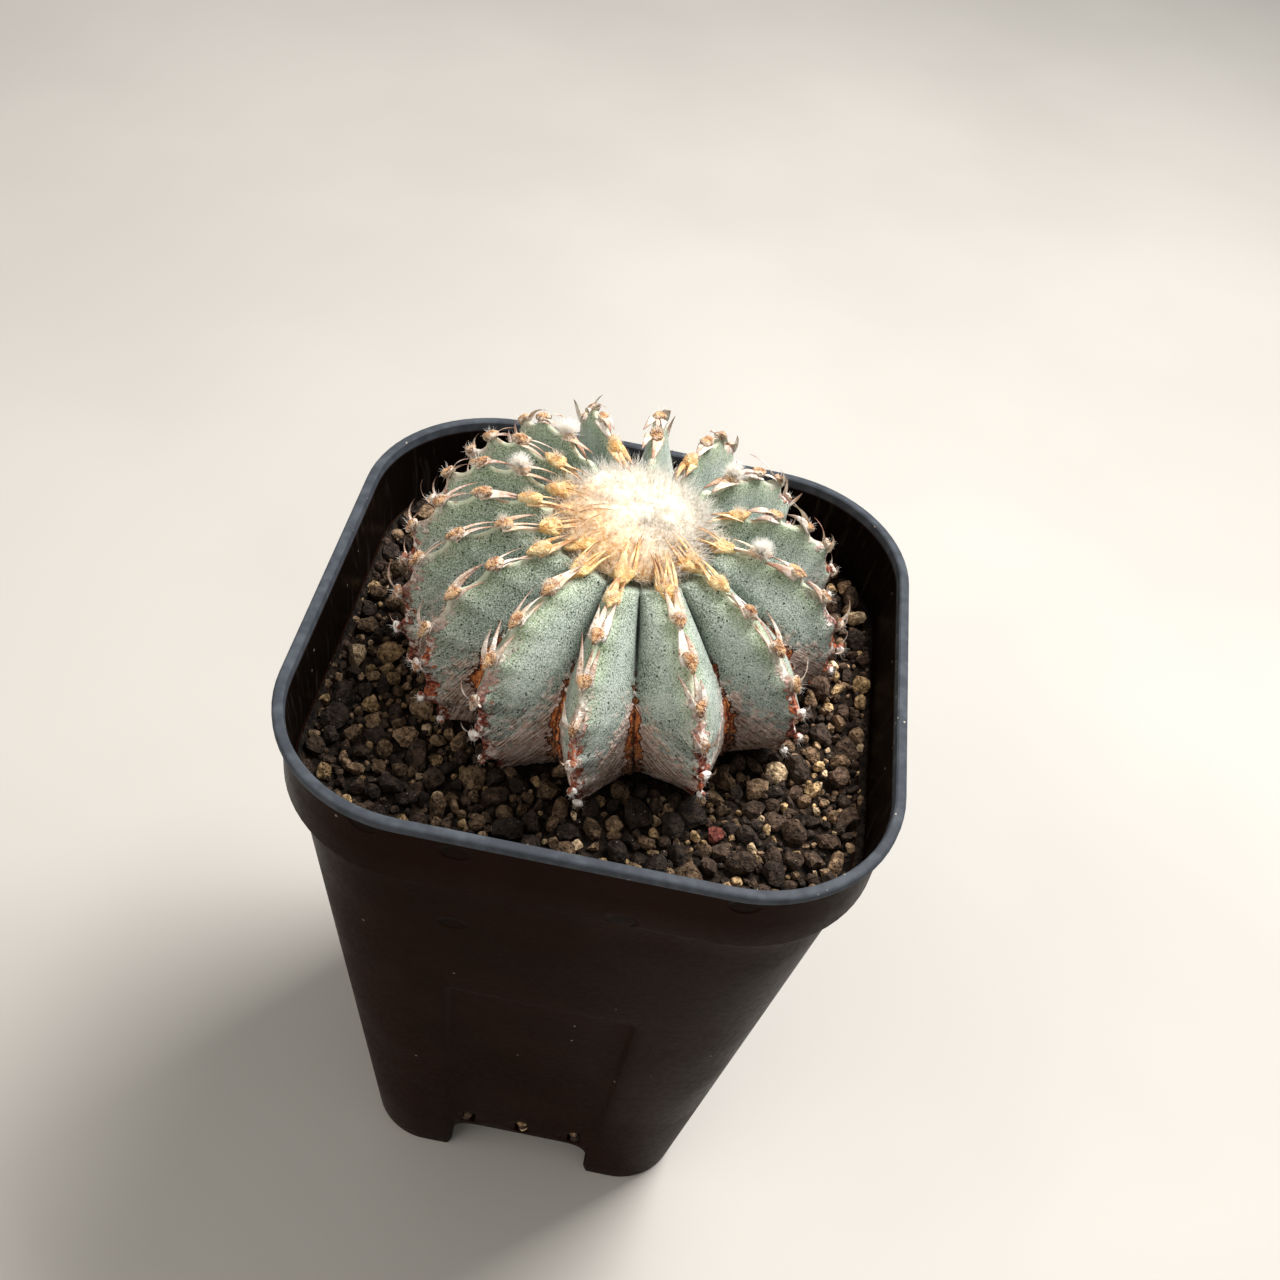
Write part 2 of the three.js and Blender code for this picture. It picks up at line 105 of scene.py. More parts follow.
def closed_rings(rings):
    """A closed skin over rings of points, from the top of the skin down to its end. Each ring
    joins the next by a band of quads, and a fan on a middle point closes the first and the last.
    Rings run anticlockwise seen from above, which turns the faces outwards."""
    rows, columns = rings.shape[:2]
    points = np.vstack([rings.reshape(-1, 3), rings[0].mean(0), rings[-1].mean(0)])
    bands, at, beside = bands_between(rows, columns)
    top = np.full(columns, rows * columns)
    fans = np.vstack([np.stack([top, at[0], beside[0]], -1), np.stack([top + 1, beside[-1], at[-1]], -1)])
    return points, [bands, fans]


def merged(skins):
    """Several closed skins as one list of points and sets of faces, with the numbers moved on."""
    points, quads, fans, count = [], [], [], 0
    for skin_points, (skin_quads, skin_fans) in skins:
        points.append(skin_points)
        quads.append(skin_quads + count)
        fans.append(skin_fans + count)
        count += len(skin_points)
    return np.vstack(points), [np.vstack(quads), np.vstack(fans)]


def fade(value, start, end):
    """0 before start and 1 past end, with the curve 3t^2 - 2t^3 between them."""
    t = np.clip((value - start) / (end - start), 0, 1)
    return t * t * (3 - 2 * t)


def square_rings(profile, centre=(0, 0), sunk=None):
    """Rings of a square with round corners, one for each height, half width and corner radius.
    On each side a column's place is (half - corner) times its share along the side, plus the
    corner circle where the side has ended; the side is then turned by its quarter."""
    height, half, corner = np.array(profile, float).T[:, :, None]
    share = np.array(ACROSS_SIDE + [1] * CORNER_STEPS)
    turn = np.append(np.zeros(len(ACROSS_SIDE)), np.linspace(0, np.pi / 2, CORNER_STEPS, endpoint=False))
    straight = half - corner
    out = straight + corner * np.cos(turn)
    along = straight * share + corner * np.sin(turn)
    if sunk is not None:
        out = out - sunk(height, share)
    sides = [(out, along), (-along, out), (-out, -along), (along, -out)]
    x = np.hstack([side[0] for side in sides]) + centre[0]
    y = np.hstack([side[1] for side in sides]) + centre[1]
    return np.dstack([x, y, np.broadcast_to(height, x.shape)])


def edge_level(edge, rise, inset):
    """An edge's height, half width and corner radius, moved up by rise and drawn in by an inset."""
    height, half, corner = edge
    return [height + rise, half - inset, corner - inset]


def body_level(height, inset=0.0):
    """Height, half width and corner radius of the tapered body, drawn in by an inset."""
    share = height / BODY_TOP
    half = BASE_HALF + share * (BODY_TOP_HALF - BASE_HALF)
    corner = BASE_CORNER + share * (BODY_TOP_CORNER - BASE_CORNER)
    return [height, half - inset, corner - inset]


def panel_sink(height, share):
    """Depth of the sunk panel: full inside its two edges and below its top, 0 outside."""
    within = 1 - fade(np.abs(share), PANEL_EDGE - 0.03, PANEL_EDGE + 0.03)
    return PANEL_DEPTH * within * (1 - fade(height, PANEL_TOP - PANEL_STEP, PANEL_TOP + PANEL_STEP))


def prism(outline, half_length):
    """A closed bar along Y with the given outline of x and z, anticlockwise seen from -Y."""
    ring = np.array([[x, 0, z] for x, z in outline])
    shift = np.array([0, half_length, 0])
    return closed_rings(np.stack([ring - shift, ring + shift]))


def mirrored(right):
    """An outline's right half, and its left half from the top down."""
    return right + [(-x, z) for x, z in right[::-1]]


def arch_outline():
    """The gap between two feet: upright sides that open a little at the bottom, with shoulders on
    the curve of one control point at each upper corner, x = half - shoulder t^2 and
    z = top - shoulder (1 - t)^2."""
    t = np.linspace(0, 1, 7)
    x = ARCH_HALF - ARCH_SHOULDER * t ** 2
    z = FLOOR_UNDERSIDE - ARCH_SHOULDER * (1 - t) ** 2
    return mirrored([(ARCH_HALF + wider, height) for wider, height in ARCH_OPENING] + list(zip(x, z)))


def turned(skin, quarters):
    """A skin turned about Z by a number of quarter turns."""
    points, face_sets = skin
    for _ in range(quarters):
        points = np.stack([-points[:, 1], points[:, 0], points[:, 2]], -1)
    return points, face_sets


def settle(piece):
    """Replaces a piece's mesh by what its modifiers make of it."""
    depsgraph = bpy.context.evaluated_depsgraph_get()
    mesh = bpy.data.meshes.new_from_object(piece.evaluated_get(depsgraph))
    piece.modifiers.clear()
    piece.data = mesh


lip_underside = POT_HEIGHT - LIP_DEPTH
lip_top, lip_foot = [(height, LIP_HALF, LIP_CORNER) for height in (POT_HEIGHT, lip_underside)]
collar_top, collar_foot = [(height, COLLAR_HALF, COLLAR_CORNER) for height in (lip_underside, BODY_TOP)]
inner_wall = [[FLOOR_TOP, *FLOOR_MIDDLE]]
inner_wall += [body_level(height, WALL) for height in (FLOOR_TOP, 30, 60, 90, BODY_TOP)]
inner_wall += [edge_level(collar_foot, rise, WALL) for rise in (1, 6)]
inner_wall += [edge_level(lip_top, rise, inset) for rise, inset in ((-0.7, 1.65), (-0.2, 1.55), (0, 1.3))]
outer_wall = [edge_level(lip_top, rise, inset) for rise, inset in ((0, 0.5), (-0.1, 0.2), (-0.4, 0))]
outer_wall += [edge_level(lip_foot, rise, inset) for rise, inset in ((0.4, 0), (0.1, 0.15), (0, 0.4))]
outer_wall += [edge_level(collar_top, rise, inset) for rise, inset in ((-0.15, -0.25), (-0.5, -0.05))]
panel_from = len(inner_wall + outer_wall)
outer_wall += [edge_level(collar_foot, rise, 0) for rise in (11, 6, 0.9)]
outer_wall += [edge_level(collar_foot, 0.55, 0.12),
               [BODY_TOP + 0.35, COLLAR_HALF - 0.45, COLLAR_CORNER - 0.3],
               [BODY_TOP + 0.2, BODY_TOP_HALF + 0.5, BODY_TOP_CORNER + 0.3],
               [BODY_TOP, BODY_TOP_HALF + 0.1, BODY_TOP_CORNER + 0.1]]
outer_wall += [body_level(height) for height in (
    105.4, 100, 92, 84, 78, *(PANEL_TOP + np.array([1.5, 0.9, 0.3, -0.3, -0.9, -1.5])),
    66, 58, 50, 42, 34, 26, 20, 15, 10, 5, 0.6)]
outer_wall += [body_level(0.2, 0.12), body_level(0, 0.6), [0, *FLOOR_MIDDLE]]
below_lip = np.arange(len(inner_wall + outer_wall))[:, None] >= panel_from
pot = new_solid("pot_moulding", *closed_rings(square_rings(
    inner_wall + outer_wall, sunk=lambda height, share: np.where(below_lip, panel_sink(height, share), 0))))

# What is cut out of the pot: the arches, the slots, the hollows of the feet and the floor's hole.
arch_bar = prism(arch_outline(), COLLAR_HALF)
slot_half = SLOT_WIDTH / 2
slot_outline = mirrored([(slot_half, FLOOR_TOP - 0.3), (slot_half, SLOT_TOP - SLOT_SHOULDER),
                         (slot_half - SLOT_SHOULDER, SLOT_TOP)])
slot_points, slot_faces = prism(slot_outline, WALL + 0.6)
wall_at_slot = body_level(FLOOR_TOP)[1]
slots = [turned((slot_points + [step * SLOT_PITCH, -wall_at_slot, 0], slot_faces), quarter)
         for step in (-1, 0, 1) for quarter in range(4)]
cup_levels = [[FLOOR_TOP + 1, CUP_HALF, CUP_CORNER], [CUP_BOTTOM, CUP_HALF, CUP_CORNER]]
cup_centres = [(x * CUP_CENTRE, y * CUP_CENTRE) for x in (-1, 1) for y in (-1, 1)]
cups = [closed_rings(square_rings(cup_levels, centre)) for centre in cup_centres]
hole_levels = [[height, FLOOR_HOLE_RADIUS, FLOOR_HOLE_RADIUS - 0.05] for height in (FLOOR_TOP + 1, 5)]
cups.append(closed_rings(square_rings(hole_levels)))
cutters = [new_solid(name, *skin) for name, skin in (
    ("arch_y", arch_bar), ("arch_x", turned(arch_bar, 1)), ("slots", merged(slots)), ("cups", merged(cups)))]
for cutter in cutters:
    cut = pot.modifiers.new(cutter.name, "BOOLEAN")
    cut.object = cutter
    cut.operation = "DIFFERENCE"
    cut.solver = "MANIFOLD"
softened = pot.modifiers.new("softened edges", "BEVEL")
softened.width = SOFT_EDGE * MM
softened.segments = 2
softened.limit_method = "ANGLE"
softened.angle_limit = np.radians(SOFT_ANGLE)
settle(pot)
for cutter in cutters:
    bpy.data.objects.remove(cutter)
pot.data.shade_smooth()
pot.data.set_sharp_from_angle(angle=np.radians(SHARP_ANGLE))


class Signal:
    """One output in a material's tree of nodes, which can be worked with like a number."""

    def __init__(self, socket):
        self.socket, self.tree = socket, socket.id_data

    def __add__(self, other):
        return worked("ADD", self, other)

    def __sub__(self, other):
        return worked("SUBTRACT", self, other)

    def __mul__(self, other):
        return worked("MULTIPLY", self, other)

    def __truediv__(self, other):
        return worked("DIVIDE", self, other)

    def __pow__(self, other):
        return worked("POWER", self, other)

    def __abs__(self):
        return worked("ABSOLUTE", self)


def new_node(tree, kind, inputs=None, **settings):
    """Adds a node. inputs gives each socket, by name or number, a value or the signal into it."""
    node = tree.nodes.new(kind if kind.startswith("Node") else "ShaderNode" + kind)
    for key, value in settings.items():
        setattr(node, key, value)
    for key, value in (inputs or {}).items():
        if isinstance(value, Signal):
            tree.links.new(value.socket, node.inputs[key])
        else:
            node.inputs[key].default_value = value
    return node


def put(tree, kind, inputs=None, output=0, **settings):
    """Adds a node and gives one of its outputs."""
    return Signal(new_node(tree, kind, inputs, **settings).outputs[output])


def worked(operation, first, second=0.0):
    """One step of arithmetic."""
    return put(first.tree, "Math", {0: first, 1: second}, operation=operation)


def larger(first, second):
    """The larger of two values."""
    return worked("MAXIMUM", first, second)


def ramped(value, start, end, low=0.0, high=1.0):
    """low before start and high past end, smooth between them. start may be the larger one."""
    return put(value.tree, "MapRange", {"Value": value, "From Min": start, "From Max": end, "To Min": low,
                                        "To Max": high}, interpolation_type="SMOOTHSTEP")


def paint(red, green, blue):
    """A colour as seen on a screen, 0 to 255, as the linear values that a shader takes."""
    seen = np.array([red, green, blue]) / 255
    linear = np.where(seen <= 0.04045, seen / 12.92, ((seen + 0.055) / 1.055) ** 2.4)
    return (*linear, 1)


def mixed(share, *colours):
    """From the first colour to the second by a share. A plain colour is as seen on a screen."""
    first, second = (colour if isinstance(colour, Signal) else paint(*colour) for colour in colours)
    return put(share.tree, "Mix", {0: share, 6: first, 7: second}, output=2, data_type="RGBA")


def split(vector):
    """The three parts of a vector."""
    return [Signal(part) for part in new_node(vector.tree, "SeparateXYZ", {0: vector}).outputs]


def joined(*parts):
    """A vector of three parts."""
    return put(parts[0].tree, "CombineXYZ", dict(enumerate(parts)))


def place(tree):
    """The place on the object, in metres."""
    return put(tree, "TexCoord", output="Object")


def shared_effect(name, effect, output, *numbers):
    """A shader node group that turns a vector and the named numbers into one output."""
    group = bpy.data.node_groups.new(name, "ShaderNodeTree")
    group.interface.new_socket("Vector", in_out="INPUT", socket_type="NodeSocketVector")
    for label in numbers:
        group.interface.new_socket(label, in_out="INPUT", socket_type="NodeSocketFloat")
    group.interface.new_socket(output, in_out="OUTPUT", socket_type="NodeSocketFloat")
    given = new_node(group, "NodeGroupInput").outputs
    made = effect(*(Signal(given[label]) for label in ("Vector", *numbers)))
    new_node(group, "NodeGroupOutput", {0: made})
    return group


def clouds(vector, scale, detail, low, high):
    """Cloudy unevenness: noise at a scale, spread out between a low and a high level."""
    noise = put(vector.tree, "TexNoise", {"Vector": vector, "Scale": scale, "Detail": detail})
    return ramped(noise, low, high)


def spots(vector, scale, reach, share):
    """Scattered spots: in a share of the cells of a scale, a spot that reaches so far from the
    cell's middle."""
    cells = new_node(vector.tree, "TexVoronoi", {"Vector": vector, "Scale": scale}).outputs
    drawn = put(vector.tree, "SeparateColor", {0: Signal(cells["Color"])})
    return ramped(Signal(cells["Distance"]), reach, reach * 0.5) * worked("LESS_THAN", drawn, share)


mottle_group = shared_effect("mottle", clouds, "Value", "Scale", "Detail", "Low", "High")
flecks_group = shared_effect("flecks", spots, "Mask", "Scale", "Reach", "Share")


def mottle(vector, scale, low=0.35, high=0.65, detail=3.0):
    """The shared unevenness, as a value from 0 to 1."""
    return put(vector.tree, "Group", {"Vector": vector, "Scale": scale, "Detail": detail, "Low": low,
                                      "High": high}, node_tree=mottle_group)


def flecks(vector, scale, reach, share):
    """The shared spots, as a mask."""
    return put(vector.tree, "Group", {"Vector": vector, "Scale": scale, "Reach": reach, "Share": share},
               node_tree=flecks_group)


def mottled(vector, scale, dark, light, *levels):
    """Two colours mixed by the shared unevenness at a scale, between its low and high levels."""
    return mixed(mottle(vector, scale, *levels), dark, light)


def finish_material(name, colour, roughness, height=None, relief=0.1, **shader_values):
    """A material on one Principled shader. colour makes its colour, roughness is made or plain,
    height makes what lifts the surface, and relief is that lift in millimetres."""
    material = bpy.data.materials.new(name)
    material.use_nodes = True
    tree = material.node_tree
    tree.nodes.clear()
    values = {key.replace("_", " "): value for key, value in shader_values.items()}
    values["Base Color"] = colour(tree)
    values["Roughness"] = roughness(tree) if callable(roughness) else roughness
    if height:
        bump = {"Height": height(tree), "Distance": relief * MM, "Strength": 1.0}
        values["Normal"] = put(tree, "Bump", bump)
    new_node(tree, "OutputMaterial", {"Surface": put(tree, "BsdfPrincipled", values)})
    return material


def dress(piece, material, slot, *nodes):
    """Gives a piece its material, its body and the nodes it stands for. slot is not used."""
    piece.data.materials.clear()
    piece.data.materials.append(material)
    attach(piece, "root")
    if nodes:
        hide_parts(*nodes)


# Dents in the front of the collar and one on the body below it: X and Z. Each is an oval of the
# given half width and half height. They set in between two places along Y, so that they stay on
# the front.
DENTS = [(-27.1, 116.8), (-14.5, 115.5), (24.4, 116.3), (9, 107.7), (-14.6, 94.4)]
DENT_HALF_WIDTH, DENT_HALF_HEIGHT = 2.2, 1.5
DENTED_FROM, DENTED_TO = -30, -36


def dents(tree):
    """A mask that is 1 in the shallow oval dents: the square of the distance from a dent's middle,
    in its own half sizes, is under 1."""
    x, y, z = split(place(tree))
    ovals = 0.0
    for middle_x, middle_z in DENTS:
        wide = (x - middle_x * MM) / (DENT_HALF_WIDTH * MM)
        high = (z - middle_z * MM) / (DENT_HALF_HEIGHT * MM)
        ovals = larger(ramped(wide * wide + high * high, 1.3, 0.5), ovals)
    return ovals * ramped(y, DENTED_FROM * MM, DENTED_TO * MM)


def pot_colour(tree):
    """Warm black, a little browner in clouds, with painted shade in the dents and painted shade nearly black
    on the inside of the wall, sparse pale dust, more of it in streaks down the inside of the wall, and a
    scuffed lip painted blue-grey as a painted reflection."""
    spot = place(tree)
    x, y, height = split(spot)
    # Painted shade: the shallow dents are painted darker.
    plastic = mixed(dents(tree) * 0.7, mottled(spot, 60, (24, 10, 4), (29, 13, 7)), (13, 7, 4))
    # Painted reflection: the lip is painted blue-grey for the sheen of the sky on it, mottled where it is
    # scuffed.
    lip_sheen_and_scuffs = mottled(spot, 420, (59, 63, 69), (74, 79, 86), 0.35, 0.72)
    lipped = mixed(ramped(height, 0.1182, 0.1187), plastic, lip_sheen_and_scuffs)
    # Painted shade: the inside of the wall, below the lip, is painted nearly black.
    facing = put(tree, "NewGeometry", output="Normal")
    facing_out = put(tree, "VectorMath", {0: facing, 1: spot}, output="Value", operation="DOT_PRODUCT")
    inside = ramped(facing_out, 0.0, -0.01) * ramped(height, 0.1184, 0.118)
    shaded = mixed(inside * 0.9, lipped, (8, 6, 5))
    streaks = mottle(joined(x * 900, y * 900, height * 70), 1, 0.52, 0.75, 4.0) * inside
    streaked = mixed(streaks * 0.06, shaded, (120, 112, 104))
    lip_dust = flecks(spot, 900, 0.2, 0.07) * ramped(height, 0.118, 0.119)
    return mixed(larger(flecks(spot, 350, 0.1, 0.1) * 0.5, lip_dust), streaked, (160, 152, 142))


def pot_roughness(tree):
    """Satin, with duller clouds and fine scratches."""
    spot = place(tree)
    return ramped(mottle(spot, 45), 0, 1, 0.34, 0.42) + mottle(spot, 900) * 0.06 - dents(tree) * 0.1


def pot_height(tree):
    """Fine unevenness of the moulding, and the dents."""
    return mottle(place(tree), 1400, 0.3, 0.7) * 0.06 - dents(tree)


pot_plastic = finish_material("pot plastic", pot_colour, pot_roughness, pot_height, 0.15,
                              IOR=1.2, Specular_IOR_Level=0.1, Specular_Tint=(1, 0.72, 0.52, 1))
dress(pot, pot_plastic, "pot_plastic", "pot")

# ---- Plant form ----
# The living body is one piece: sixteen ribs round a sunken crown, leaning a little to the front
# left. These sizes are its drawn profile, which the grit, the skin, the areoles, the spines and
# the wool all follow.
PLANT_CENTRE = np.array([4.2, 6.8])
LEAN, LEAN_HEIGHT = np.array([-3.2, -3.5]), 30
TILT = np.array([-0.0046, 0.002])
PLANT_FOOT = 108
# Each rib's direction in degrees, and how far it reaches as a share of the profile's radius.
RIBS = np.array([[-97, 1.03], [-66, 0.93], [-33, 0.88], [1, 0.88], [27, 0.92], [51, 0.94],
                 [72, 0.97], [93, 0.95], [116, 0.93], [138, 0.94], [156, 0.95], [173, 0.96],
                 [190, 1.01], [206, 1.06], [222, 1.08], [240, 1.06]])
# Radius and height down a crest and down a groove, in the crown, and from the foot to the root.
CREST = [[13.4, 137.5], [21.5, 137.4], [26.8, 135.6], [31, 132.3], [33.7, 128],
         [34.8, 122], [34.5, 115.5], [32.3, 110.4], [30.6, 107.9]]
GROOVE = [[12.3, 135.5], [15, 131.5], [19, 129.6], [23.5, 128.2], [26.6, 125],
          [27.9, 120.5], [27.6, 115], [26.2, 110.8], [25, 108.6]]
CROWN_DISH = [[1, 133], [5, 133.3], [9.5, 134.6]]
UNDERSIDE_AND_ROOT = [[24, 107.6], [15, 108.2], [9, 108.1], [7.6, 104], [6, 92], [3.6, 80], [0.6, 74]]
AREOLES = 7
# Where the crease after each rib lies, as a share of the way to the next rib.
CREASES = np.array([0.42, 0.43] + [0.5] * 13 + [0.64])
FULL_TURN = 2 * np.pi
rib_turns = np.radians(RIBS[:, 0])
rib_count = len(RIBS)
next_creases = rib_turns + CREASES * ((np.roll(rib_turns, -1) - rib_turns) % FULL_TURN)
last_creases = np.roll(next_creases, 1) - np.append(FULL_TURN, np.zeros(rib_count - 1))


def unit(vectors):
    """Vectors brought to length 1."""
    return vectors / np.linalg.norm(vectors, axis=-1, keepdims=True)


def outward_at(azimuth):
    """Level directions away from the plant's middle."""
    return np.stack([np.cos(azimuth), np.sin(azimuth), np.zeros_like(azimuth)], -1)


def reach(azimuth):
    """How far the plant spreads to one side, straight between its ribs' own reaches."""
    return np.interp(azimuth, rib_turns, RIBS[:, 1], period=FULL_TURN)


def in_plant(radius, azimuth, height):
    """Points of the leaning plant: the arm is radius times reach, the centre moves by the lean
    with height, and each side's height above the foot grows by its share of the tilt."""
    radius, azimuth, height = np.broadcast_arrays(radius, azimuth, height)
    arm = (radius * reach(azimuth))[..., None] * outward_at(azimuth)[..., :2]
    above = height - PLANT_FOOT
    flat = arm + PLANT_CENTRE + LEAN * (above / LEAN_HEIGHT)[..., None]
    return np.concatenate([flat, (PLANT_FOOT + above * (1 + arm @ TILT))[..., None]], -1)


def curve_through(points, shares):
    """A Catmull-Rom curve through the points, read at shares of its length: radius and height."""
    points = np.array(points, float)
    padded = np.vstack([points[0], points, points[-1]])
    t = np.linspace(0, len(points) - 1, 800)
    first = np.minimum(t.astype(int), len(points) - 2)
    w = (t - first)[:, None]
    a, b, c, d = (padded[first + step] for step in range(4))
    dense = (2 * b + (c - a) * w + (2 * a - 5 * b + 4 * c - d) * w ** 2
             + (3 * b - a - 3 * c + d) * w ** 3) / 2
    run = np.append(0, np.cumsum(np.linalg.norm(np.diff(dense, axis=0), axis=1)))
    at = np.asarray(shares) * run[-1]
    return np.stack([np.interp(at, run, dense[:, axis]) for axis in (0, 1)], -1)


def crest_normal(shares):
    """The direction off the skin at shares of the crest: its tangent turned by a right angle."""
    step = 0.004
    ahead, behind = (curve_through(CREST, np.clip(shares + way, 0, 1)) for way in (step, -step))
    tangent = unit(ahead - behind)
    return np.stack([-tangent[..., 1], tangent[..., 0]], -1)


# ---- Grit ----
# Loose volcanic grit, 1 to 4 mm, dark brown to tan: a bed that fills the pot and its hollow feet,
# with a plain hole for the root, and under and round the ribs' feet a cover of separate grains.
GRIT_LEVEL = 107.4
# How far the bed stays off the pot's wall, floor and feet.
FIT_GAP = 0.3
HOLLOWS, HOLLOW_SIZE, EDGE_SAG = 0.7, 13, 0.8
BED_DROP = 1.5
LUMPS, LUMP_SIZE = 0.35, 1.7
ROOT_GAP = 0.5
GRAIN_SEED = 5
FOOT_GROOVE, FOOT_CREST = 26.4, 33
# The sizes of grain, largest first: radius from and to, how many are tried, how close they may
# come as a share of touching, and how deep their middles lie under the surface.
GRAIN_SORTS = [(1.6, 2.2, 260, 1.0, 0.4), (1.1, 1.6, 2200, 0.9, 0.6), (0.7, 1.05, 5000, 0.82, 0.9),
               (0.4, 0.65, 9000, 0.78, 1.1)]
GRAIN_UNEVENNESS = 0.35
GRAIN_SHAPES, STONE_FACES, STONE_POWER = 24, 7, 40
# A grain's edges are shown sharp where they turn by more degrees than this.
GRAIN_SHARP_ANGLE = 24
# How high the grains behind a drain slot lie over the pot's floor.
SLOT_GRAIN_HEIGHTS = [0.5, 2.0, 3.6]
# Colours of grain, with how often each is drawn.
GRAIN_TONES = [((46, 36, 29), 0.27), ((64, 49, 38), 0.25), ((92, 72, 52), 0.2), ((122, 98, 73), 0.15),
               ((150, 122, 84), 0.1), ((174, 149, 116), 0.04), ((104, 50, 40), 0.006)]
# How much paler the grit is painted towards the right, as painted light.
PAINTED_LIGHT_TO_THE_RIGHT = 0.85


def smooth_noise(points, size, seed):
    """Noise from -1 to 1: random values on a cubic lattice of the given size in millimetres,
    blended between its corners by the fade 3t^2 - 2t^3 along each axis."""
    values = np.random.default_rng(seed).uniform(-1, 1, (32, 32, 32))
    low = np.floor(points / size).astype(int)
    t = fade(points / size - low, 0, 1)
    total = 0
    for corner in np.ndindex(2, 2, 2):
        near = np.where(corner, t, 1 - t).prod(-1)
        x, y, z = np.moveaxis((low + corner) % len(values), -1, 0)
        total = total + near * values[x, y, z]
    return total


def grit_surface(x, y):
    """Height of the grit: its level with soft hollows, sinking a little towards the wall."""
    flat = np.stack([x, y, np.zeros_like(x)], -1)
    edge = np.maximum(np.abs(x), np.abs(y)) / COLLAR_HALF
    return GRIT_LEVEL + 0.5 + HOLLOWS * smooth_noise(flat, HOLLOW_SIZE, 3) - EDGE_SAG * fade(edge, 0.7, 1)


in_collar = edge_level(collar_foot, 0, WALL + FIT_GAP)[1:]
bed_edge = square_rings([[GRIT_LEVEL, *in_collar]])[0]
bed_turn = np.arctan2(bed_edge[:, 1] - PLANT_CENTRE[1], bed_edge[:, 0] - PLANT_CENTRE[0])
hole_rings = np.stack([in_plant(np.full_like(bed_turn, radius + ROOT_GAP), bed_turn, height)
                       for radius, height in UNDERSIDE_AND_ROOT[:1:-1]])
across = np.linspace(0, 1, 40)[:, None, None]
top_rings = hole_rings[-1] * (1 - across) + bed_edge * across
lumps = LUMPS * smooth_noise(top_rings, LUMP_SIZE, 8)
top_rings[..., 2] = grit_surface(top_rings[..., 0], top_rings[..., 1]) - BED_DROP + lumps
side_levels = [[BODY_TOP + 1.2, *in_collar]]
side_levels += [body_level(height, WALL + FIT_GAP) for height in (BODY_TOP - 0.4, 60, FLOOR_TOP + FIT_GAP)]
side_levels += [[FLOOR_TOP + FIT_GAP, *FLOOR_MIDDLE]]
bed_skin = closed_rings(np.concatenate([hole_rings, top_rings[1:-1], square_rings(side_levels)]))
feet_levels = [[height, CUP_HALF - FIT_GAP, CUP_CORNER - FIT_GAP]
               for height in (FLOOR_TOP + 2, CUP_BOTTOM + FIT_GAP)]
feet_fill = [closed_rings(square_rings(feet_levels, centre)) for centre in cup_centres]
bed = new_solid("grit_bed", *merged([bed_skin, *feet_fill]))


def foot_radius(azimuth):
    """How far from the plant's centre its foot reaches on the grit: on each rib a straight line
    from the crest's foot to the groove's, times the reach."""
    nearest = np.abs((azimuth[:, None] - rib_turns + np.pi) % FULL_TURN - np.pi)
    rib = nearest.argmin(1)
    away = ((azimuth - rib_turns[rib] + np.pi) % FULL_TURN) - np.pi
    pitch = np.where(away > 0, next_creases[rib], last_creases[rib]) - rib_turns[rib]
    valley = np.clip(away / pitch, 0, 1)
    return (FOOT_CREST + (FOOT_GROOVE - FOOT_CREST) * valley) * reach(azimuth)


def inside_wall(x, y, radius):
    """Whether a grain of that radius is clear of the pot's wall."""
    corner = COLLAR_CORNER - WALL - radius
    straight = COLLAR_HALF - COLLAR_CORNER
    return np.hypot(np.maximum(np.abs(x) - straight, 0), np.maximum(np.abs(y) - straight, 0)) <= corner


def scattered_grains(random):
    """Grains dropped one by one, the large ones first: a grain stays if it is clear of the wall
    and the foot, and no closer to the others than its sort allows."""
    kept = np.zeros((0, 4))
    for low, high, tries, touching, depth in GRAIN_SORTS:
        x, y = random.uniform(-COLLAR_HALF, COLLAR_HALF, (2, tries))
        radius = random.uniform(low, high, tries)
        arm = np.stack([x, y], -1) - PLANT_CENTRE
        clear = np.hypot(*arm.T) > foot_radius(np.arctan2(arm[:, 1], arm[:, 0])) - 0.6 + 0.3 * radius
        for one in np.flatnonzero(clear & inside_wall(x, y, radius)):
            gap = np.hypot(kept[:, 0] - x[one], kept[:, 1] - y[one])
            if np.all(gap > touching * (kept[:, 3] + radius[one])):
                height = grit_surface(x[one:one + 1], y[one:one + 1])[0] - depth
                height = height + GRAIN_UNEVENNESS * random.uniform(-1, 1)
                kept = np.vstack([kept, [x[one], y[one], height, radius[one]]])
    return kept


def grains_in_slots(random):
    """Three grains in each drain slot, one over the other, just behind the wall's outside."""
    rows = []
    for quarter in range(4):
        for slot in (-1, 0, 1):
            for height in FLOOR_TOP + np.array(SLOT_GRAIN_HEIGHTS) + random.uniform(-0.3, 0.3, 3):
                radius = random.uniform(0.75, 1.15)
                x = slot * SLOT_PITCH + random.uniform(-0.6, 0.6)
                y = 0.5 + radius - body_level(height)[1]
                for _ in range(quarter):
                    x, y = -y, x
                rows.append([x, y, height, radius])
    return np.array(rows)


def ball(subdivisions):
    """A unit ball of triangles: its points and faces."""
    shape = bmesh.new()
    bmesh.ops.create_icosphere(shape, subdivisions=subdivisions, radius=1)
    points = np.array([vertex.co for vertex in shape.verts])
    faces = np.array([[vertex.index for vertex in face.verts] for face in shape.faces])
    shape.free()
    return points, faces


def stone_shapes(count, points, random):
    """Unit stones: each point's distance is one over the root of the summed powers of how far it
    looks along the stone's random faces, which makes a worn block with soft edges."""
    sides = unit(random.normal(size=(count, STONE_FACES, 3)))
    depth = random.uniform(0.55, 1.0, (count, STONE_FACES, 1))
    look = np.maximum(sides @ points.T / depth, 0)
    distance = np.maximum((look ** STONE_POWER).sum(1), 1e-9) ** (-1 / STONE_POWER)
    return points * np.clip(distance, 0.4, 1.3)[..., None]


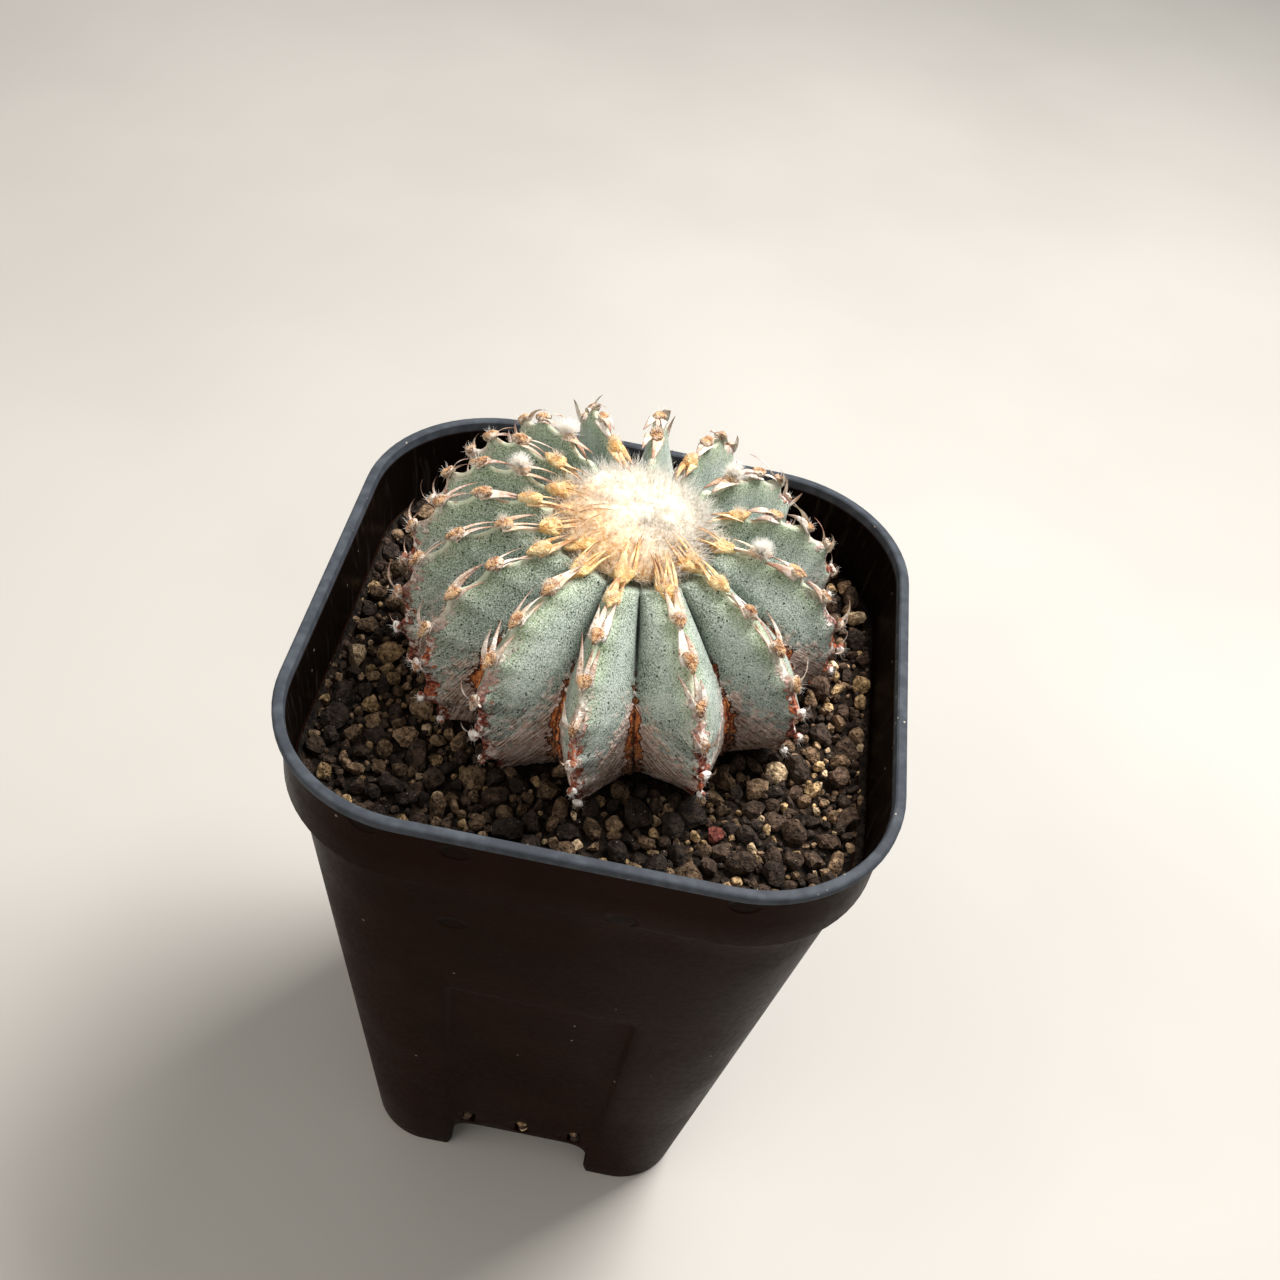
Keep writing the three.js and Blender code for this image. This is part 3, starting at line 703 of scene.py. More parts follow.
def random_turns(count, random):
    """Random rotation matrices, from unit quaternions of four normal numbers."""
    drawn = random.normal(size=(4, count))
    w, x, y, z = drawn / np.linalg.norm(drawn, axis=0)
    rows = [[1 - 2 * (y * y + z * z), 2 * (x * y - w * z), 2 * (x * z + w * y)],
            [2 * (x * y + w * z), 1 - 2 * (x * x + z * z), 2 * (y * z - w * x)],
            [2 * (x * z - w * y), 2 * (y * z + w * x), 1 - 2 * (x * x + y * y)]]
    return np.moveaxis(np.array(rows), -1, 0)


def repeated(points, faces):
    """Copies of one shape as points and faces: points has a row of points for each copy."""
    count, size = points.shape[:2]
    moved = faces[None] + np.arange(count)[:, None, None] * size
    return points.reshape(-1, 3), [moved.reshape(-1, faces.shape[1])]


def give_colour(piece, name, colours):
    """Stores one colour for each point of a piece."""
    stored = piece.data.attributes.new(name, "FLOAT_COLOR", "POINT").data
    stored.foreach_set("color", np.column_stack([colours, np.ones(len(colours))]).ravel())


ball_points, ball_faces = ball(2)
grain_random = np.random.default_rng(GRAIN_SEED)
slot_grains = grains_in_slots(grain_random)
grain_places = np.vstack([slot_grains, scattered_grains(grain_random)])
grain_count = len(grain_places)
stones = stone_shapes(GRAIN_SHAPES, ball_points, grain_random)
stones = stones[grain_random.integers(0, GRAIN_SHAPES, grain_count)]
stones = stones * grain_random.uniform(0.72, 1.12, (grain_count, 1, 3))
stones = np.einsum("nij,nkj->nki", random_turns(grain_count, grain_random), stones)
stones = stones * grain_places[:, None, 3:] + grain_places[:, None, :3]
tone_colours = np.array([paint(*colour)[:3] for colour, _ in GRAIN_TONES])
tone_odds = np.array([odds for _, odds in GRAIN_TONES])
tone = grain_random.choice(len(GRAIN_TONES), grain_count, p=tone_odds / tone_odds.sum())
grain_colours = tone_colours[tone] * grain_random.uniform(0.78, 1.22, (grain_count, 1))
# Painted light: the grit is painted paler towards the right and the back right.
grain_colours *= 1 + PAINTED_LIGHT_TO_THE_RIGHT * fade(grain_places[:, :1] + 0.5 * grain_places[:, 1:2], 8, 38)
large_count = len(slot_grains) + (grain_places[len(slot_grains):, 3] > GRAIN_SORTS[1][0]).sum()
large, small = slice(0, large_count), slice(large_count, None)
grain_pieces = []
for name, part in (("grit_large_grains", large), ("grit_small_grains", small)):
    grains = new_solid(name, *repeated(stones[part], ball_faces))
    grains.data.set_sharp_from_angle(angle=np.radians(GRAIN_SHARP_ANGLE))
    give_colour(grains, "tone", np.repeat(grain_colours[part], len(ball_points), axis=0))
    grain_pieces.append(grains)


def own(tree, name, output="Fac"):
    """A number, or a colour, that the mesh carries for each of its points."""
    return put(tree, "Attribute", output=output, attribute_name=name)


def shade_of(colour, value, saturation=1.0):
    """A colour made darker or lighter, and duller or stronger."""
    return put(colour.tree, "HueSaturation", {"Value": value, "Saturation": saturation, "Color": colour})


def grain_colour(tree):
    """Each grain's own tone, clouded, with dark pores and pale crystals."""
    spot, tone = place(tree), own(tree, "tone", "Color")
    clouded = mixed(mottle(spot, 1100, 0.36, 0.64, 5.0), shade_of(tone, 0.5), shade_of(tone, 1.5, 0.92))
    pores = larger(flecks(spot, 1500, 0.3, 0.34), flecks(spot, 2900, 0.36, 0.4))
    pored = mixed(pores * 0.8, clouded, (20, 15, 12))
    return mixed(flecks(spot, 1900, 0.22, 0.08) * 0.6, pored, (200, 190, 168))


def grain_height(tree):
    """Pores and rough grain."""
    spot = place(tree)
    pores = larger(flecks(spot, 1500, 0.34, 0.34), flecks(spot, 2900, 0.38, 0.4))
    return mottle(spot, 1700, 0.25, 0.75, 5.0) - pores


def bed_colour(tree):
    """Dark fines with lighter crumbs, painted darker than the grains as painted shade in the gaps between
    them.
    """
    return mottled(place(tree), 900, (16, 12, 9), (50, 38, 29))


grain_finish = finish_material("porous grit", grain_colour, 0.93, grain_height, 0.28, Specular_IOR_Level=0.25)
bed_finish = finish_material("fine grit", bed_colour, 0.95, grain_height, 0.35, Specular_IOR_Level=0.2)
dress(bed, bed_finish, "grit", "grit")
for grains in grain_pieces:
    dress(grains, grain_finish, "grit", "grit")

# ---- Cactus body ----
# One succulent body with its root: waxy blue-green flanks that fold like a roof over each rib, thin dark
# creases between the ribs near the crown, with painted shade in the valleys beside them, and cork low down:
# rust red on the crests, orange in the creases, and pink and brown fibres along the foot.
COLUMNS_PER_RIB = 34
CREST_ROWS = 168
# How straight a front rib's side falls from its crest, from 0, swollen, to 1, flat. Then between
# which shares of the way to the crease the blunt fins at the back fall, and how much of their
# fall is an even slope.
FLATNESS_CROWN, FLATNESS_FOOT = 0.62, 1.0
CREASE_SHARPNESS = 16
FIN_EDGE, FIN_END, FIN_SLOPE = 0.06, 0.6, 0.12
AREOLE_RISE, CREST_NOTCH, CREST_WIDTH = 0.8, 0.38, 1.15
CORK_ROUGHNESS, CREST_CORK_WIDTH, GROOVE_CORK_WIDTH = 0.3, 1.6, 1.5
SWELL, SWELL_SIZE = 0.25, 6
# How much higher the foot's brown hem reaches in a crease than on a crest, as a share of the rib.
HEM_RISE = 0.36
# What the crown and the underside hold for their distance from the crests and grooves.
FAR = 5

half_steps = np.linspace(-1, 1, COLUMNS_PER_RIB, endpoint=False)
rib_of = np.repeat(np.arange(rib_count), COLUMNS_PER_RIB)
station = np.tile(np.sign(half_steps) * fade(np.abs(half_steps), 0, 1), rib_count)
to_crease = np.where(station > 0, next_creases[rib_of], last_creases[rib_of]) - rib_turns[rib_of]
column_turn = rib_turns[rib_of] + np.abs(station) * to_crease
down = np.linspace(0, 1, CREST_ROWS)[:, None]
crest_line = curve_through(CREST, down[:, 0])[:, None]
groove_line = curve_through(GROOVE, down[:, 0])[:, None]
half_gap = np.abs(to_crease) * groove_line[..., 0]
crest_distance = np.abs(station * to_crease) * crest_line[..., 0]
groove_distance = (1 - np.abs(station)) * half_gap
flatness = FLATNESS_CROWN + (FLATNESS_FOOT - FLATNESS_CROWN) * fade(down, 0.08, 0.5)
cork_width = GROOVE_CORK_WIDTH * fade(down, 0.22, 0.95)
off_crest = np.minimum(np.abs(station), 1 - 0.8 * cork_width / half_gap)
straight_side = off_crest ** (1.1 - 0.25 * fade(down, 0.6, 1))
roof = flatness * straight_side + (1 - flatness) * off_crest ** CREASE_SHARPNESS
fin_end = FIN_END + 0.35 * fade(down, 0.3, 0.9)
fin = FIN_SLOPE * off_crest + (1 - FIN_SLOPE) * fade(off_crest, FIN_EDGE, fin_end)
backward = fade(np.sin(column_turn), -0.3, 0.8)
fall = roof + (fin - roof) * backward
profile = crest_line * (1 - fall)[..., None] + groove_line * fall[..., None]
from_crest = np.hypot(crest_distance, np.linalg.norm(profile - crest_line, axis=-1))
hem = down - HEM_RISE * (1 - off_crest)


def areole_share(rib, shares):
    """How much of an areole's rise a place on the crest has: a cosine between 0 and 1 with its
    peaks on the areoles, which sit half a step lower on every other rib."""
    first = (0.5 + 0.5 * (rib % 2)) / AREOLES
    return 0.5 + 0.5 * np.cos(FULL_TURN * AREOLES * (shares - first))


def give_number(piece, name, values):
    """Stores one number for each point of a piece."""
    stored = piece.data.attributes.new(name, "FLOAT", "POINT").data
    stored.foreach_set("value", np.ravel(values).astype(float))


def ring_at(radius, height):
    """A plain ring of the plant under its ribs' columns."""
    return in_plant(np.full_like(column_turn, radius), column_turn, height)


knob = areole_share(rib_of, down)
lift = (AREOLE_RISE + CREST_NOTCH) * knob ** 1.5 - CREST_NOTCH
lift = lift * np.exp(-(crest_distance / (CREST_WIDTH + 0.9 * knob)) ** 2)
profile = profile + crest_normal(down[:, 0])[:, None] * lift[..., None]
skin_rings = in_plant(profile[..., 0], column_turn, profile[..., 1])
crown_rings = np.stack([ring_at(*level) for level in CROWN_DISH])
under_rings = np.stack([ring_at(*level) for level in UNDERSIDE_AND_ROOT])
cork_crest = fade(down, 0.42, 0.7) * np.exp(-(crest_distance / CREST_CORK_WIDTH) ** 2)
cork_groove = fade(cork_width - groove_distance, -0.3, 0.3)
cork_foot = fade(hem, 0.45, 0.6)
rough = smooth_noise(skin_rings, 0.9, 21) + 0.6 * smooth_noise(skin_rings, 0.45, 22)
swell = SWELL * smooth_noise(skin_rings, SWELL_SIZE, 23)
off_skin = unit(skin_rings - in_plant(np.full_like(groove_distance, 6), column_turn, 118))
corkiness = np.clip(cork_crest + 0.5 * cork_foot + 0.6 * cork_groove, 0, 1)
skin_rings = skin_rings + off_skin * (CORK_ROUGHNESS * rough * corkiness + swell)[..., None]
cactus_body = new_solid("cactus_body", *closed_rings(np.concatenate([crown_rings, skin_rings, under_rings])))
# What each point of the body holds for its colours: on the ribs, in the crown and beneath.
for name, on_ribs, crown, under in (
        ("down", down, 0, 1), ("from_crest", from_crest, FAR, FAR),
        ("from_cork", groove_distance - cork_width, FAR, FAR), ("from_groove", groove_distance, FAR, FAR),
        ("hem", hem, 0, 1)):
    rows = [np.full(crown_rings.shape[:2], crown), np.broadcast_to(on_ribs, skin_rings.shape[:2]),
            np.full(under_rings.shape[:2], under)]
    give_number(cactus_body, name, np.append(np.concatenate(rows).ravel(), [crown, under]))


def along_hem(tree, flat, steep):
    """Coordinates for fibres that run parallel to the foot's edge: X and Y of the object, and
    the share of the way down to the hem times a rib's length, each at its own scale."""
    x, y, _ = split(place(tree))
    return joined(x * flat, y * flat, own(tree, "hem") * (0.045 * steep))


def ragged(tree):
    """What makes the edges of the cork uneven, from -0.5 to 0.5."""
    return mottle(place(tree), 800, 0.2, 0.8, 4.0) - 0.5


def cork_edge(tree):
    """How far a place lies outside the cork of its crease, in millimetres."""
    wavering = mottle(place(tree), 300, 0.3, 0.7) - 0.5
    return own(tree, "from_cork") + (ragged(tree) * 1.1 + wavering * 0.6)


def cactus_masks(tree):
    """Where the skin is corky: on the crests' lower parts, in the creases, and at the foot."""
    down_here = own(tree, "down")
    crest = ramped(own(tree, "from_crest") + ragged(tree) * 2.4, 1.7, 1.0) * ramped(down_here, 0.28, 0.52)
    groove = ramped(cork_edge(tree), 0.12, 0.0) * ramped(down_here, 0.28, 0.36)
    foot = ramped(own(tree, "hem") + ragged(tree) * 0.3, 0.38, 0.56)
    return crest, groove, foot


def waxy_flank(tree):
    """Grey-green skin, yellow-green beside the upper crests and painted darker in the valleys as painted
    shade, under pale granules and a low powder of wax, and specked dark, more so low down and beside the
    cork."""
    spot, down_here = place(tree), own(tree, "down")
    near_crest = ramped(own(tree, "from_crest"), 5.2, 0.5) * ramped(down_here, 0.75, 0.3)
    skin = mottled(spot, 220, (118, 134, 123), (156, 169, 161))
    skin = mixed(near_crest * 0.8, skin, (122, 142, 90))
    # Painted shade: the skin is painted darker towards the bottom of each valley.
    skin = mixed(ramped(own(tree, "from_groove"), 4.2, 0.1) * 0.62, skin, (84, 100, 88))
    skin = mixed(mottle(spot, 4600, 0.42, 0.62, 2.0) * 0.6, skin, (214, 220, 210))
    powder = mottle(along_hem(tree, 260, 900), 1, 0.5, 0.66, 4.0) * ramped(down_here, 0.34, 0.7, 0.0, 0.9)
    skin = mixed(powder, skin, (205, 202, 196))
    thick = mottle(spot, 130, 0.4, 0.62)
    specks = larger(flecks(spot, 1500, 0.3, ramped(down_here, 0.2, 0.7, 0.24, 0.42)),
                    flecks(spot, 2700, 0.36, thick * 0.42 + 0.12))
    specks = larger(specks, flecks(spot, 850, 0.22, thick * 0.22))
    skin = mixed(specks * 0.92, skin, (34, 40, 34))
    fringe = ramped(own(tree, "from_cork") + ragged(tree) * 2.6, 1.0, 0.3) * ramped(down_here, 0.28, 0.36)
    skin = mixed(fringe * flecks(spot, 2100, 0.44, 0.6), skin, (62, 40, 32))
    crack = ramped(abs(mottle(along_hem(tree, 420, 1500), 1, 0.38, 0.62) - 0.5), 0.22, 0.08)
    crack = crack * ramped(mottle(spot, 420, 0.4, 0.6), 0.5, 0.65) * ramped(down_here, 0.4, 0.65)
    return mixed(crack, skin, (50, 42, 40))


def foot_fibres(tree):
    """Pink and brown fibres along the hem, with a pale frost."""
    spot = place(tree)
    threads = mottle(along_hem(tree, 420, 2300), 1, 0.34, 0.64, 5.0)
    pink = mixed(threads, (156, 118, 102), (242, 218, 206))
    brown = mixed(threads, (104, 76, 62), (222, 196, 176))
    return mottled(spot, 1500, mottled(spot, 260, pink, brown, 0.46, 0.6), (236, 220, 210), 0.52, 0.66, 4.0)


def crest_cork(tree):
    """Dark red and rust cork, flaking to white higher up."""
    spot = place(tree)
    dark = mottled(spot, 1700, (84, 34, 32), (158, 96, 78), 0.4, 0.6)
    rust = mottled(spot, 1700, (112, 44, 30), (186, 104, 66), 0.4, 0.6)
    flaky = mottle(spot, 900, 0.5, 0.64, 4.0) + ramped(own(tree, "down"), 0.62, 0.36, 0.0, 0.7)
    white = mottled(spot, 1400, (202, 186, 174), (236, 228, 222))
    return mixed(flaky, mottled(spot, 75, dark, rust, 0.46, 0.56, 1.0), white)


def groove_cork(tree):
    """Orange cork that turns brown towards the foot, with dark seams round it and down its middle."""
    grain = mottle(along_hem(tree, 2400, 380), 1, 0.36, 0.62, 4.0)
    fresh = mixed(grain, (148, 60, 30), (234, 148, 86))
    old = mixed(grain, (66, 38, 28), (172, 122, 92))
    cork = mixed(ramped(own(tree, "down") + ragged(tree) * 0.3, 0.62, 0.8), fresh, old)
    rim_seam = ramped(abs(cork_edge(tree) + 0.05), 0.2, 0.04)
    middle_seam = ramped(own(tree, "from_groove") + ragged(tree) * 0.5, 0.3, 0.08)
    return mixed(larger(middle_seam * 0.8, rim_seam), cork, (40, 24, 18))


def cactus_colour(tree):
    """The waxy flank with a felted rim along the upper crests, and cork in three colours."""
    spot = place(tree)
    crest, groove, foot = cactus_masks(tree)
    footed = mixed(foot, waxy_flank(tree), foot_fibres(tree))
    rim = ramped(own(tree, "from_crest"), 0.75, 0.3) * ramped(own(tree, "down"), 0.8, 0.5)
    rimmed = mixed(rim * 0.9, footed, mottled(spot, 500, (212, 220, 194), (176, 150, 122), 0.5, 0.68))
    return mixed(groove, mixed(crest, rimmed, crest_cork(tree)), groove_cork(tree))


def cork_mask(tree):
    """All three corks together."""
    crest, groove, foot = cactus_masks(tree)
    return larger(larger(crest, groove), foot)


def cactus_roughness(tree):
    """The wax is satin, the cork is dry."""
    return ramped(cork_mask(tree), 0, 1, 0.56, 0.9)


def cactus_height(tree):
    """Fine grain everywhere, flakes on the cork, and fibres along the foot."""
    grain = mottle(place(tree), 3400, 0.2, 0.8, 2.0) * 0.12
    flakes = mottle(place(tree), 1300, 0.25, 0.75, 5.0) * cork_mask(tree)
    threads = mottle(along_hem(tree, 420, 2300), 1, 0.25, 0.75, 5.0)
    return grain + flakes + threads * ramped(own(tree, "hem"), 0.42, 0.58, 0.0, 1.7)


skin_finish = finish_material("waxy skin", cactus_colour, cactus_roughness, cactus_height, 0.3,
                              Specular_IOR_Level=0.3)
dress(cactus_body, skin_finish, "cactus_skin", "cactus")

# ---- Areoles ----
# A felted knob sits on every rise of every crest. The youngest, at the edge of the wool, are
# golden wedges, and at the back the wool hides them; grown ones are tan beads; the lowest are
# worn to white flakes.
AREOLE_SEED = 12
YOUNGEST = -1
AREOLE_SEAT = 0.08
CREST_LENGTH = 45.5
# An areole's half sizes across, along and off its crest, by how far down the crest it is.
AREOLE_AGES = [-0.08, 0.02, 0.1, 0.45, 0.7, 1.0]
AREOLE_SIZES = [[1.8, 1.45, 0.95, 0.86, 0.75, 0.55], [2.9, 2.1, 1.55, 1.5, 0.95, 0.6],
                [0.9, 0.85, 0.72, 0.66, 0.62, 0.5]]
AREOLE_TAPER = 0.42
UP = np.array([0, 0, 1])


def crest_frame(rib, share):
    """At places on the crests: the point, off the skin, sideways, and up towards the crown.
    Places before the crest's start lie on its straight run towards the crown's middle."""
    azimuth = rib_turns[rib]
    outward = outward_at(azimuth)
    radius, height = curve_through(CREST, np.maximum(share, 0)).T
    normal = crest_normal(np.maximum(share, 0))
    off = outward * normal[:, :1] + UP * normal[:, 1:]
    side = np.cross(UP, outward)
    point = in_plant(radius + np.minimum(share, 0) * CREST_LENGTH, azimuth, height)
    return point, off, side, -np.cross(off, side)


areole_rib, areole_index = (axis.ravel() for axis in np.meshgrid(
    np.arange(rib_count), np.arange(YOUNGEST, AREOLES), indexing="ij"))
areole_down = (areole_index + 0.5 + 0.5 * (areole_rib % 2)) / AREOLES
shown = (areole_down < 0.98) & ((areole_index >= 0) | (np.sin(rib_turns[areole_rib]) < 0.15))
areole_rib, areole_index, areole_down = areole_rib[shown], areole_index[shown], areole_down[shown]
areole_at, areole_off, areole_side, areole_up = crest_frame(areole_rib, areole_down)
areole_at = areole_at + areole_off * (AREOLE_RISE * (areole_index >= 0) + AREOLE_SEAT)[:, None]
areole_count = len(areole_at)
areole_random = np.random.default_rng(AREOLE_SEED)
bead_points, bead_faces = ball(3)
areole_sizes = np.stack([np.interp(areole_down, AREOLE_AGES, sizes) for sizes in AREOLE_SIZES], -1)
areole_sizes = areole_sizes * areole_random.uniform(0.86, 1.14, (areole_count, 3))
beads = bead_points * areole_sizes[:, None]
beads[..., 0] *= 1 - AREOLE_TAPER * bead_points[:, 1]
shaken = beads + areole_at[:, None]
dimples = 0.16 * smooth_noise(shaken, 0.8, 71) + 0.1 * smooth_noise(shaken, 0.4, 72)
beads *= 1 + (dimples * (1 + 0.8 * fade(areole_down, 0.5, 0.9))[:, None])[..., None]
beads = (beads[..., :1] * areole_side[:, None] + beads[..., 1:2] * areole_up[:, None]
         + beads[..., 2:] * areole_off[:, None] + areole_at[:, None])
# An areole's own axes are left-handed, so its faces are listed the other way round.
areoles = new_solid("areoles", *repeated(beads, bead_faces[:, ::-1]))
give_number(areoles, "age", np.repeat(areole_down, len(bead_points)))
give_number(areoles, "cap", np.tile(bead_points[:, 2], areole_count))


def areole_colour(tree):
    """Golden when young, then pale with a tan, wrinkled top, then worn to chalky white over rust."""
    spot, age = place(tree), own(tree, "age")
    young = mottled(spot, 900, (222, 168, 98), (252, 224, 164))
    tan = mottled(spot, 800, (158, 106, 66), (216, 174, 130), 0.4, 0.6)
    felted = mottled(spot, 900, (172, 140, 112), (234, 218, 200), 0.4, 0.6)
    plain = mixed(ramped(own(tree, "cap") + ragged(tree) * 0.8, 0.35, 0.75), felted, tan)
    wrinkle = abs(mottle(spot, 620, 0.3, 0.7) - 0.5)
    grown = mixed(ramped(wrinkle, 0.12, 0.02, 0.0, 0.85), plain, (96, 58, 38))
    worn = mottled(spot, 900, (150, 84, 60), (244, 238, 232), 0.42, 0.52)
    return mixed(ramped(age, 0.5, 0.72), mixed(ramped(age, 0.03, 0.16), young, grown), worn)


def felt_height(tree):
    """Matted fibres."""
    return mottle(place(tree), 2800, 0.3, 0.7, 4.0)


felt = finish_material("areole felt", areole_colour, 0.75, felt_height, 0.2, Specular_IOR_Level=0.3)
dress(areoles, felt, "areole", "cactus")

# ---- Spines ----
# Dry papery blades, flat and curved, one to eight on an areole, broad where they leave it. On the
# young areoles they lie back along the crest to the crown and cover it; on the older ones they
# stand up as claws whose points bend to the crown, and the lowest have broken off.
SPINE_SEED = 31
SPINE_ROWS = 11
SPINE_SIDES = 6
SPINE_THINNESS = 0.17
# By areole, the youngest first: how many, how long, how wide, how far apart they point, and how
# much they stand up.
SPINE_HABITS = [(8, 7.6, 0.75, 0.1, 0.22), (3, 7.2, 1.75, 0.05, 0.1), (3, 6.9, 1.8, 0.06, 0.1),
                (3, 6.9, 1.5, 0.15, 0.26), (2, 6.2, 1.15, 0.24, 0.55), (2, 4.2, 1.0, 0.3, 0.5),
                (1, 2.2, 0.9, 0.2, 0.5), (1, 1.6, 0.8, 0.2, 0.5)]


def draw_spines(random):
    """One row per spine: its areole, length, width, place across the areole from -1 to 1, side
    step per length, stand and the bend of its tip."""
    rows = []
    for areole, index in enumerate(areole_index):
        count, length, width, spread, stand = SPINE_HABITS[index - YOUNGEST]
        for across in np.linspace(-1, 1, count) if count > 1 else [0.0]:
            rows.append([areole, length * random.uniform(0.72, 1.08), width * random.uniform(0.75, 1.15),
                         across, spread * across + random.normal(0, 0.07),
                         np.clip(stand + random.normal(0, 0.13), 0.02, 0.9), random.normal(0, 0.08)])
    return np.array(rows).T


spine_random = np.random.default_rng(SPINE_SEED)
owner, *drawn_sizes = draw_spines(spine_random)
owner = owner.astype(int)
# On the ribs towards -X the spines are narrower and browner.
westward = fade(-np.cos(rib_turns[areole_rib[owner]]), 0.2, 0.9)
t = np.linspace(0, 1, SPINE_ROWS)


def spine_lines(length, across, side_step, stand, tip_bend):
    """Centre lines that follow the crest. With length L and stand s, a spine runs
    L ((1 - s) t + s t^2 / 2) towards the crown, rises L s (1.1 t - 0.45 t^2) off the crest plus a
    low arch, and steps sideways from its place on the areole by its side step and tip bend."""
    run = length * ((1 - stand) * t + 0.5 * stand * t ** 2)
    rise = 0.25 + length * stand * (1.1 * t - 0.45 * t ** 2) + 0.35 * (1 - stand) * np.sin(np.pi * t)
    half_areole = (0.72 + 0.6 * (areole_index[owner] < 0))[:, None]
    aside = half_areole * across * (1 - 0.55 * t) + length * (side_step * t + tip_bend * t ** 2)
    share = areole_down[owner][:, None] - (run - 0.3) / CREST_LENGTH
    point, off, side, _ = crest_frame(np.repeat(areole_rib[owner], SPINE_ROWS), share.ravel())
    line = point + off * rise.reshape(-1, 1) + side * aside.reshape(-1, 1)
    return line.reshape(len(owner), SPINE_ROWS, 3), side.reshape(len(owner), SPINE_ROWS, 3)


def round_steps(count):
    """Even steps of a full turn, without its end."""
    return np.linspace(0, FULL_TURN, count, endpoint=False)


def blades(line, broad, width, random):
    """Flat blades along lines. The cross-section is an ellipse about six times as wide as thick.
    Its width swells as 0.62 + 0.38 sin over the first three tenths of the way and stays at 1,
    all times (1 - 0.985 t)^0.8. A blade is twisted by a random angle that grows along it."""
    ahead = unit(np.gradient(line, axis=1))
    wide = unit(broad - ahead * (broad * ahead).sum(-1, keepdims=True))
    thick = np.cross(ahead, wide)
    twist = (random.normal(0, 0.35, (len(line), 1)) + random.normal(0, 0.6, (len(line), 1)) * t)[..., None]
    wide, thick = (np.cos(twist) * wide + np.sin(twist) * thick, np.cos(twist) * thick - np.sin(twist) * wide)
    swell = np.minimum(0.62 + 0.38 * np.sin(np.minimum(t / 0.3, 1) * np.pi / 2), 1)
    half = 0.5 * width * swell * (1 - 0.985 * t) ** 0.8
    turn = round_steps(SPINE_SIDES)[:, None]
    ring = np.cos(turn) * wide[:, :, None] + SPINE_THINNESS * np.sin(turn) * thick[:, :, None]
    return line[:, :, None] + half[:, :, None, None] * ring


def new_tubes(name, rings):
    """One mesh of many closed tubes: rings is copies by rows by sides by three. Bands of quads
    join a tube's rings, and triangles close both ends."""
    count, rows, sides = rings.shape[:3]
    flat = rings.reshape(count, rows * sides, 3)
    fan = np.array([[0, step, step + 1] for step in range(1, sides - 1)])
    points, (all_quads,) = repeated(flat, bands_between(rows, sides)[0][:, ::-1])
    _, (all_ends,) = repeated(flat, np.vstack([fan[:, ::-1], fan + (rows - 1) * sides]))
    return new_solid(name, points, [all_quads, all_ends])


spine_length, spine_width, *spine_bearing = (values[:, None] for values in drawn_sizes)
spine_width = spine_width * (1 - 0.4 * westward)[:, None]
spine_line, spine_broad = spine_lines(spine_length, *spine_bearing)
spine_rings = blades(spine_line, spine_broad, spine_width, spine_random)
spines = new_tubes("spines", spine_rings)
drawn = np.maximum(spine_random.uniform(0, 1, len(owner)), 0.8 * westward)
for name, values in (("along", t[:, None]), ("rim", np.abs(np.cos(round_steps(SPINE_SIDES)))),
                     ("age", areole_down[owner][:, None, None]), ("draw", drawn[:, None, None])):
    give_number(spines, name, np.broadcast_to(values, spine_rings.shape[:3]))


def spine_colour(tree):
    """Golden near the crown and bleached lower down, with brown rims, dashes and tips."""
    spot, along_here, age = place(tree), own(tree, "along"), own(tree, "age")
    fresh = mottled(spot, 700, (226, 172, 104), (250, 226, 176))
    bleached = mottled(spot, 700, (222, 202, 184), (248, 242, 234), 0.4, 0.6)
    blade = mixed(ramped(age, 0.04, 0.2), fresh, bleached)
    blade = mixed(flecks(spot, 1500, 0.4, 0.3) * ramped(age, 0.0, 0.15, 0.2, 0.7), blade, (150, 92, 62))
    blade = mixed(ramped(own(tree, "rim"), 0.7, 1.0, 0.0, 0.35), blade, (166, 116, 80))
    blade = mixed(own(tree, "draw") ** 2 * ramped(along_here, 0.1, 0.6, 0.15, 0.75), blade, (160, 104, 72))
    return mixed(ramped(along_here, 0.55, 1.0, 0.0, 0.8), blade, (124, 76, 52))


papery_finish = finish_material("papery spines", spine_colour, 0.55, felt_height, 0.08,
                                Specular_IOR_Level=0.4)
dress(spines, papery_finish, "spine", "cactus")

# ---- Crown wool ----
# The growing point is hidden under a cushion of fine plant wool: a felted core, and thousands of loose hairs
# that stand out of it, golden cream at the front left and painted white towards the lit back, partly their
# own colour and partly painted light.
WOOL_SEED = 44
WOOL_DOME = [[0.6, 139.4], [3, 139.4], [6, 139.1], [8.8, 138.4], [10.8, 137.4], [11.5, 136.5], [9.8, 135.1],
             [5, 133.7], [0.8, 133.4]]
WOOL_COLUMNS, WOOL_ROWS = 72, 40
WOOL_MIDDLE_HEIGHT = 134
# Where the cushion's middle lies off the plant's own axis, and how much wider it is along X.
WOOL_SHIFT, WOOL_WIDTH = np.array([-0.9, 0.7, 0]), 1.07
HAIR_COUNT, HAIR_ROWS, HAIR_RADIUS, HAIR_WAVE = 9800, 4, 0.042, 0.1
HAIRS_FROM_RADIUS, HAIRS_FROM_HEIGHT = 11.6, 139.2

wool_turn = round_steps(WOOL_COLUMNS)
dome = curve_through(WOOL_DOME, np.linspace(0, 1, WOOL_ROWS))
wool_rings = np.stack([in_plant(radius, wool_turn, height) for radius, height in dome])
tufts = 0.4 * smooth_noise(wool_rings, 1.8, 61) + 0.25 * smooth_noise(wool_rings, 0.8, 62)
wool_middle = in_plant(0.0, 0.0, WOOL_MIDDLE_HEIGHT)
wool_rings = wool_rings + unit(wool_rings - wool_middle) * tufts[..., None] + WOOL_SHIFT
wool_core = new_solid("crown_wool_core", *closed_rings(wool_rings))
# The felted core takes half of the painted shade at the hairs' roots.
give_number(wool_core, "along", np.full(len(wool_core.data.vertices), 0.5))


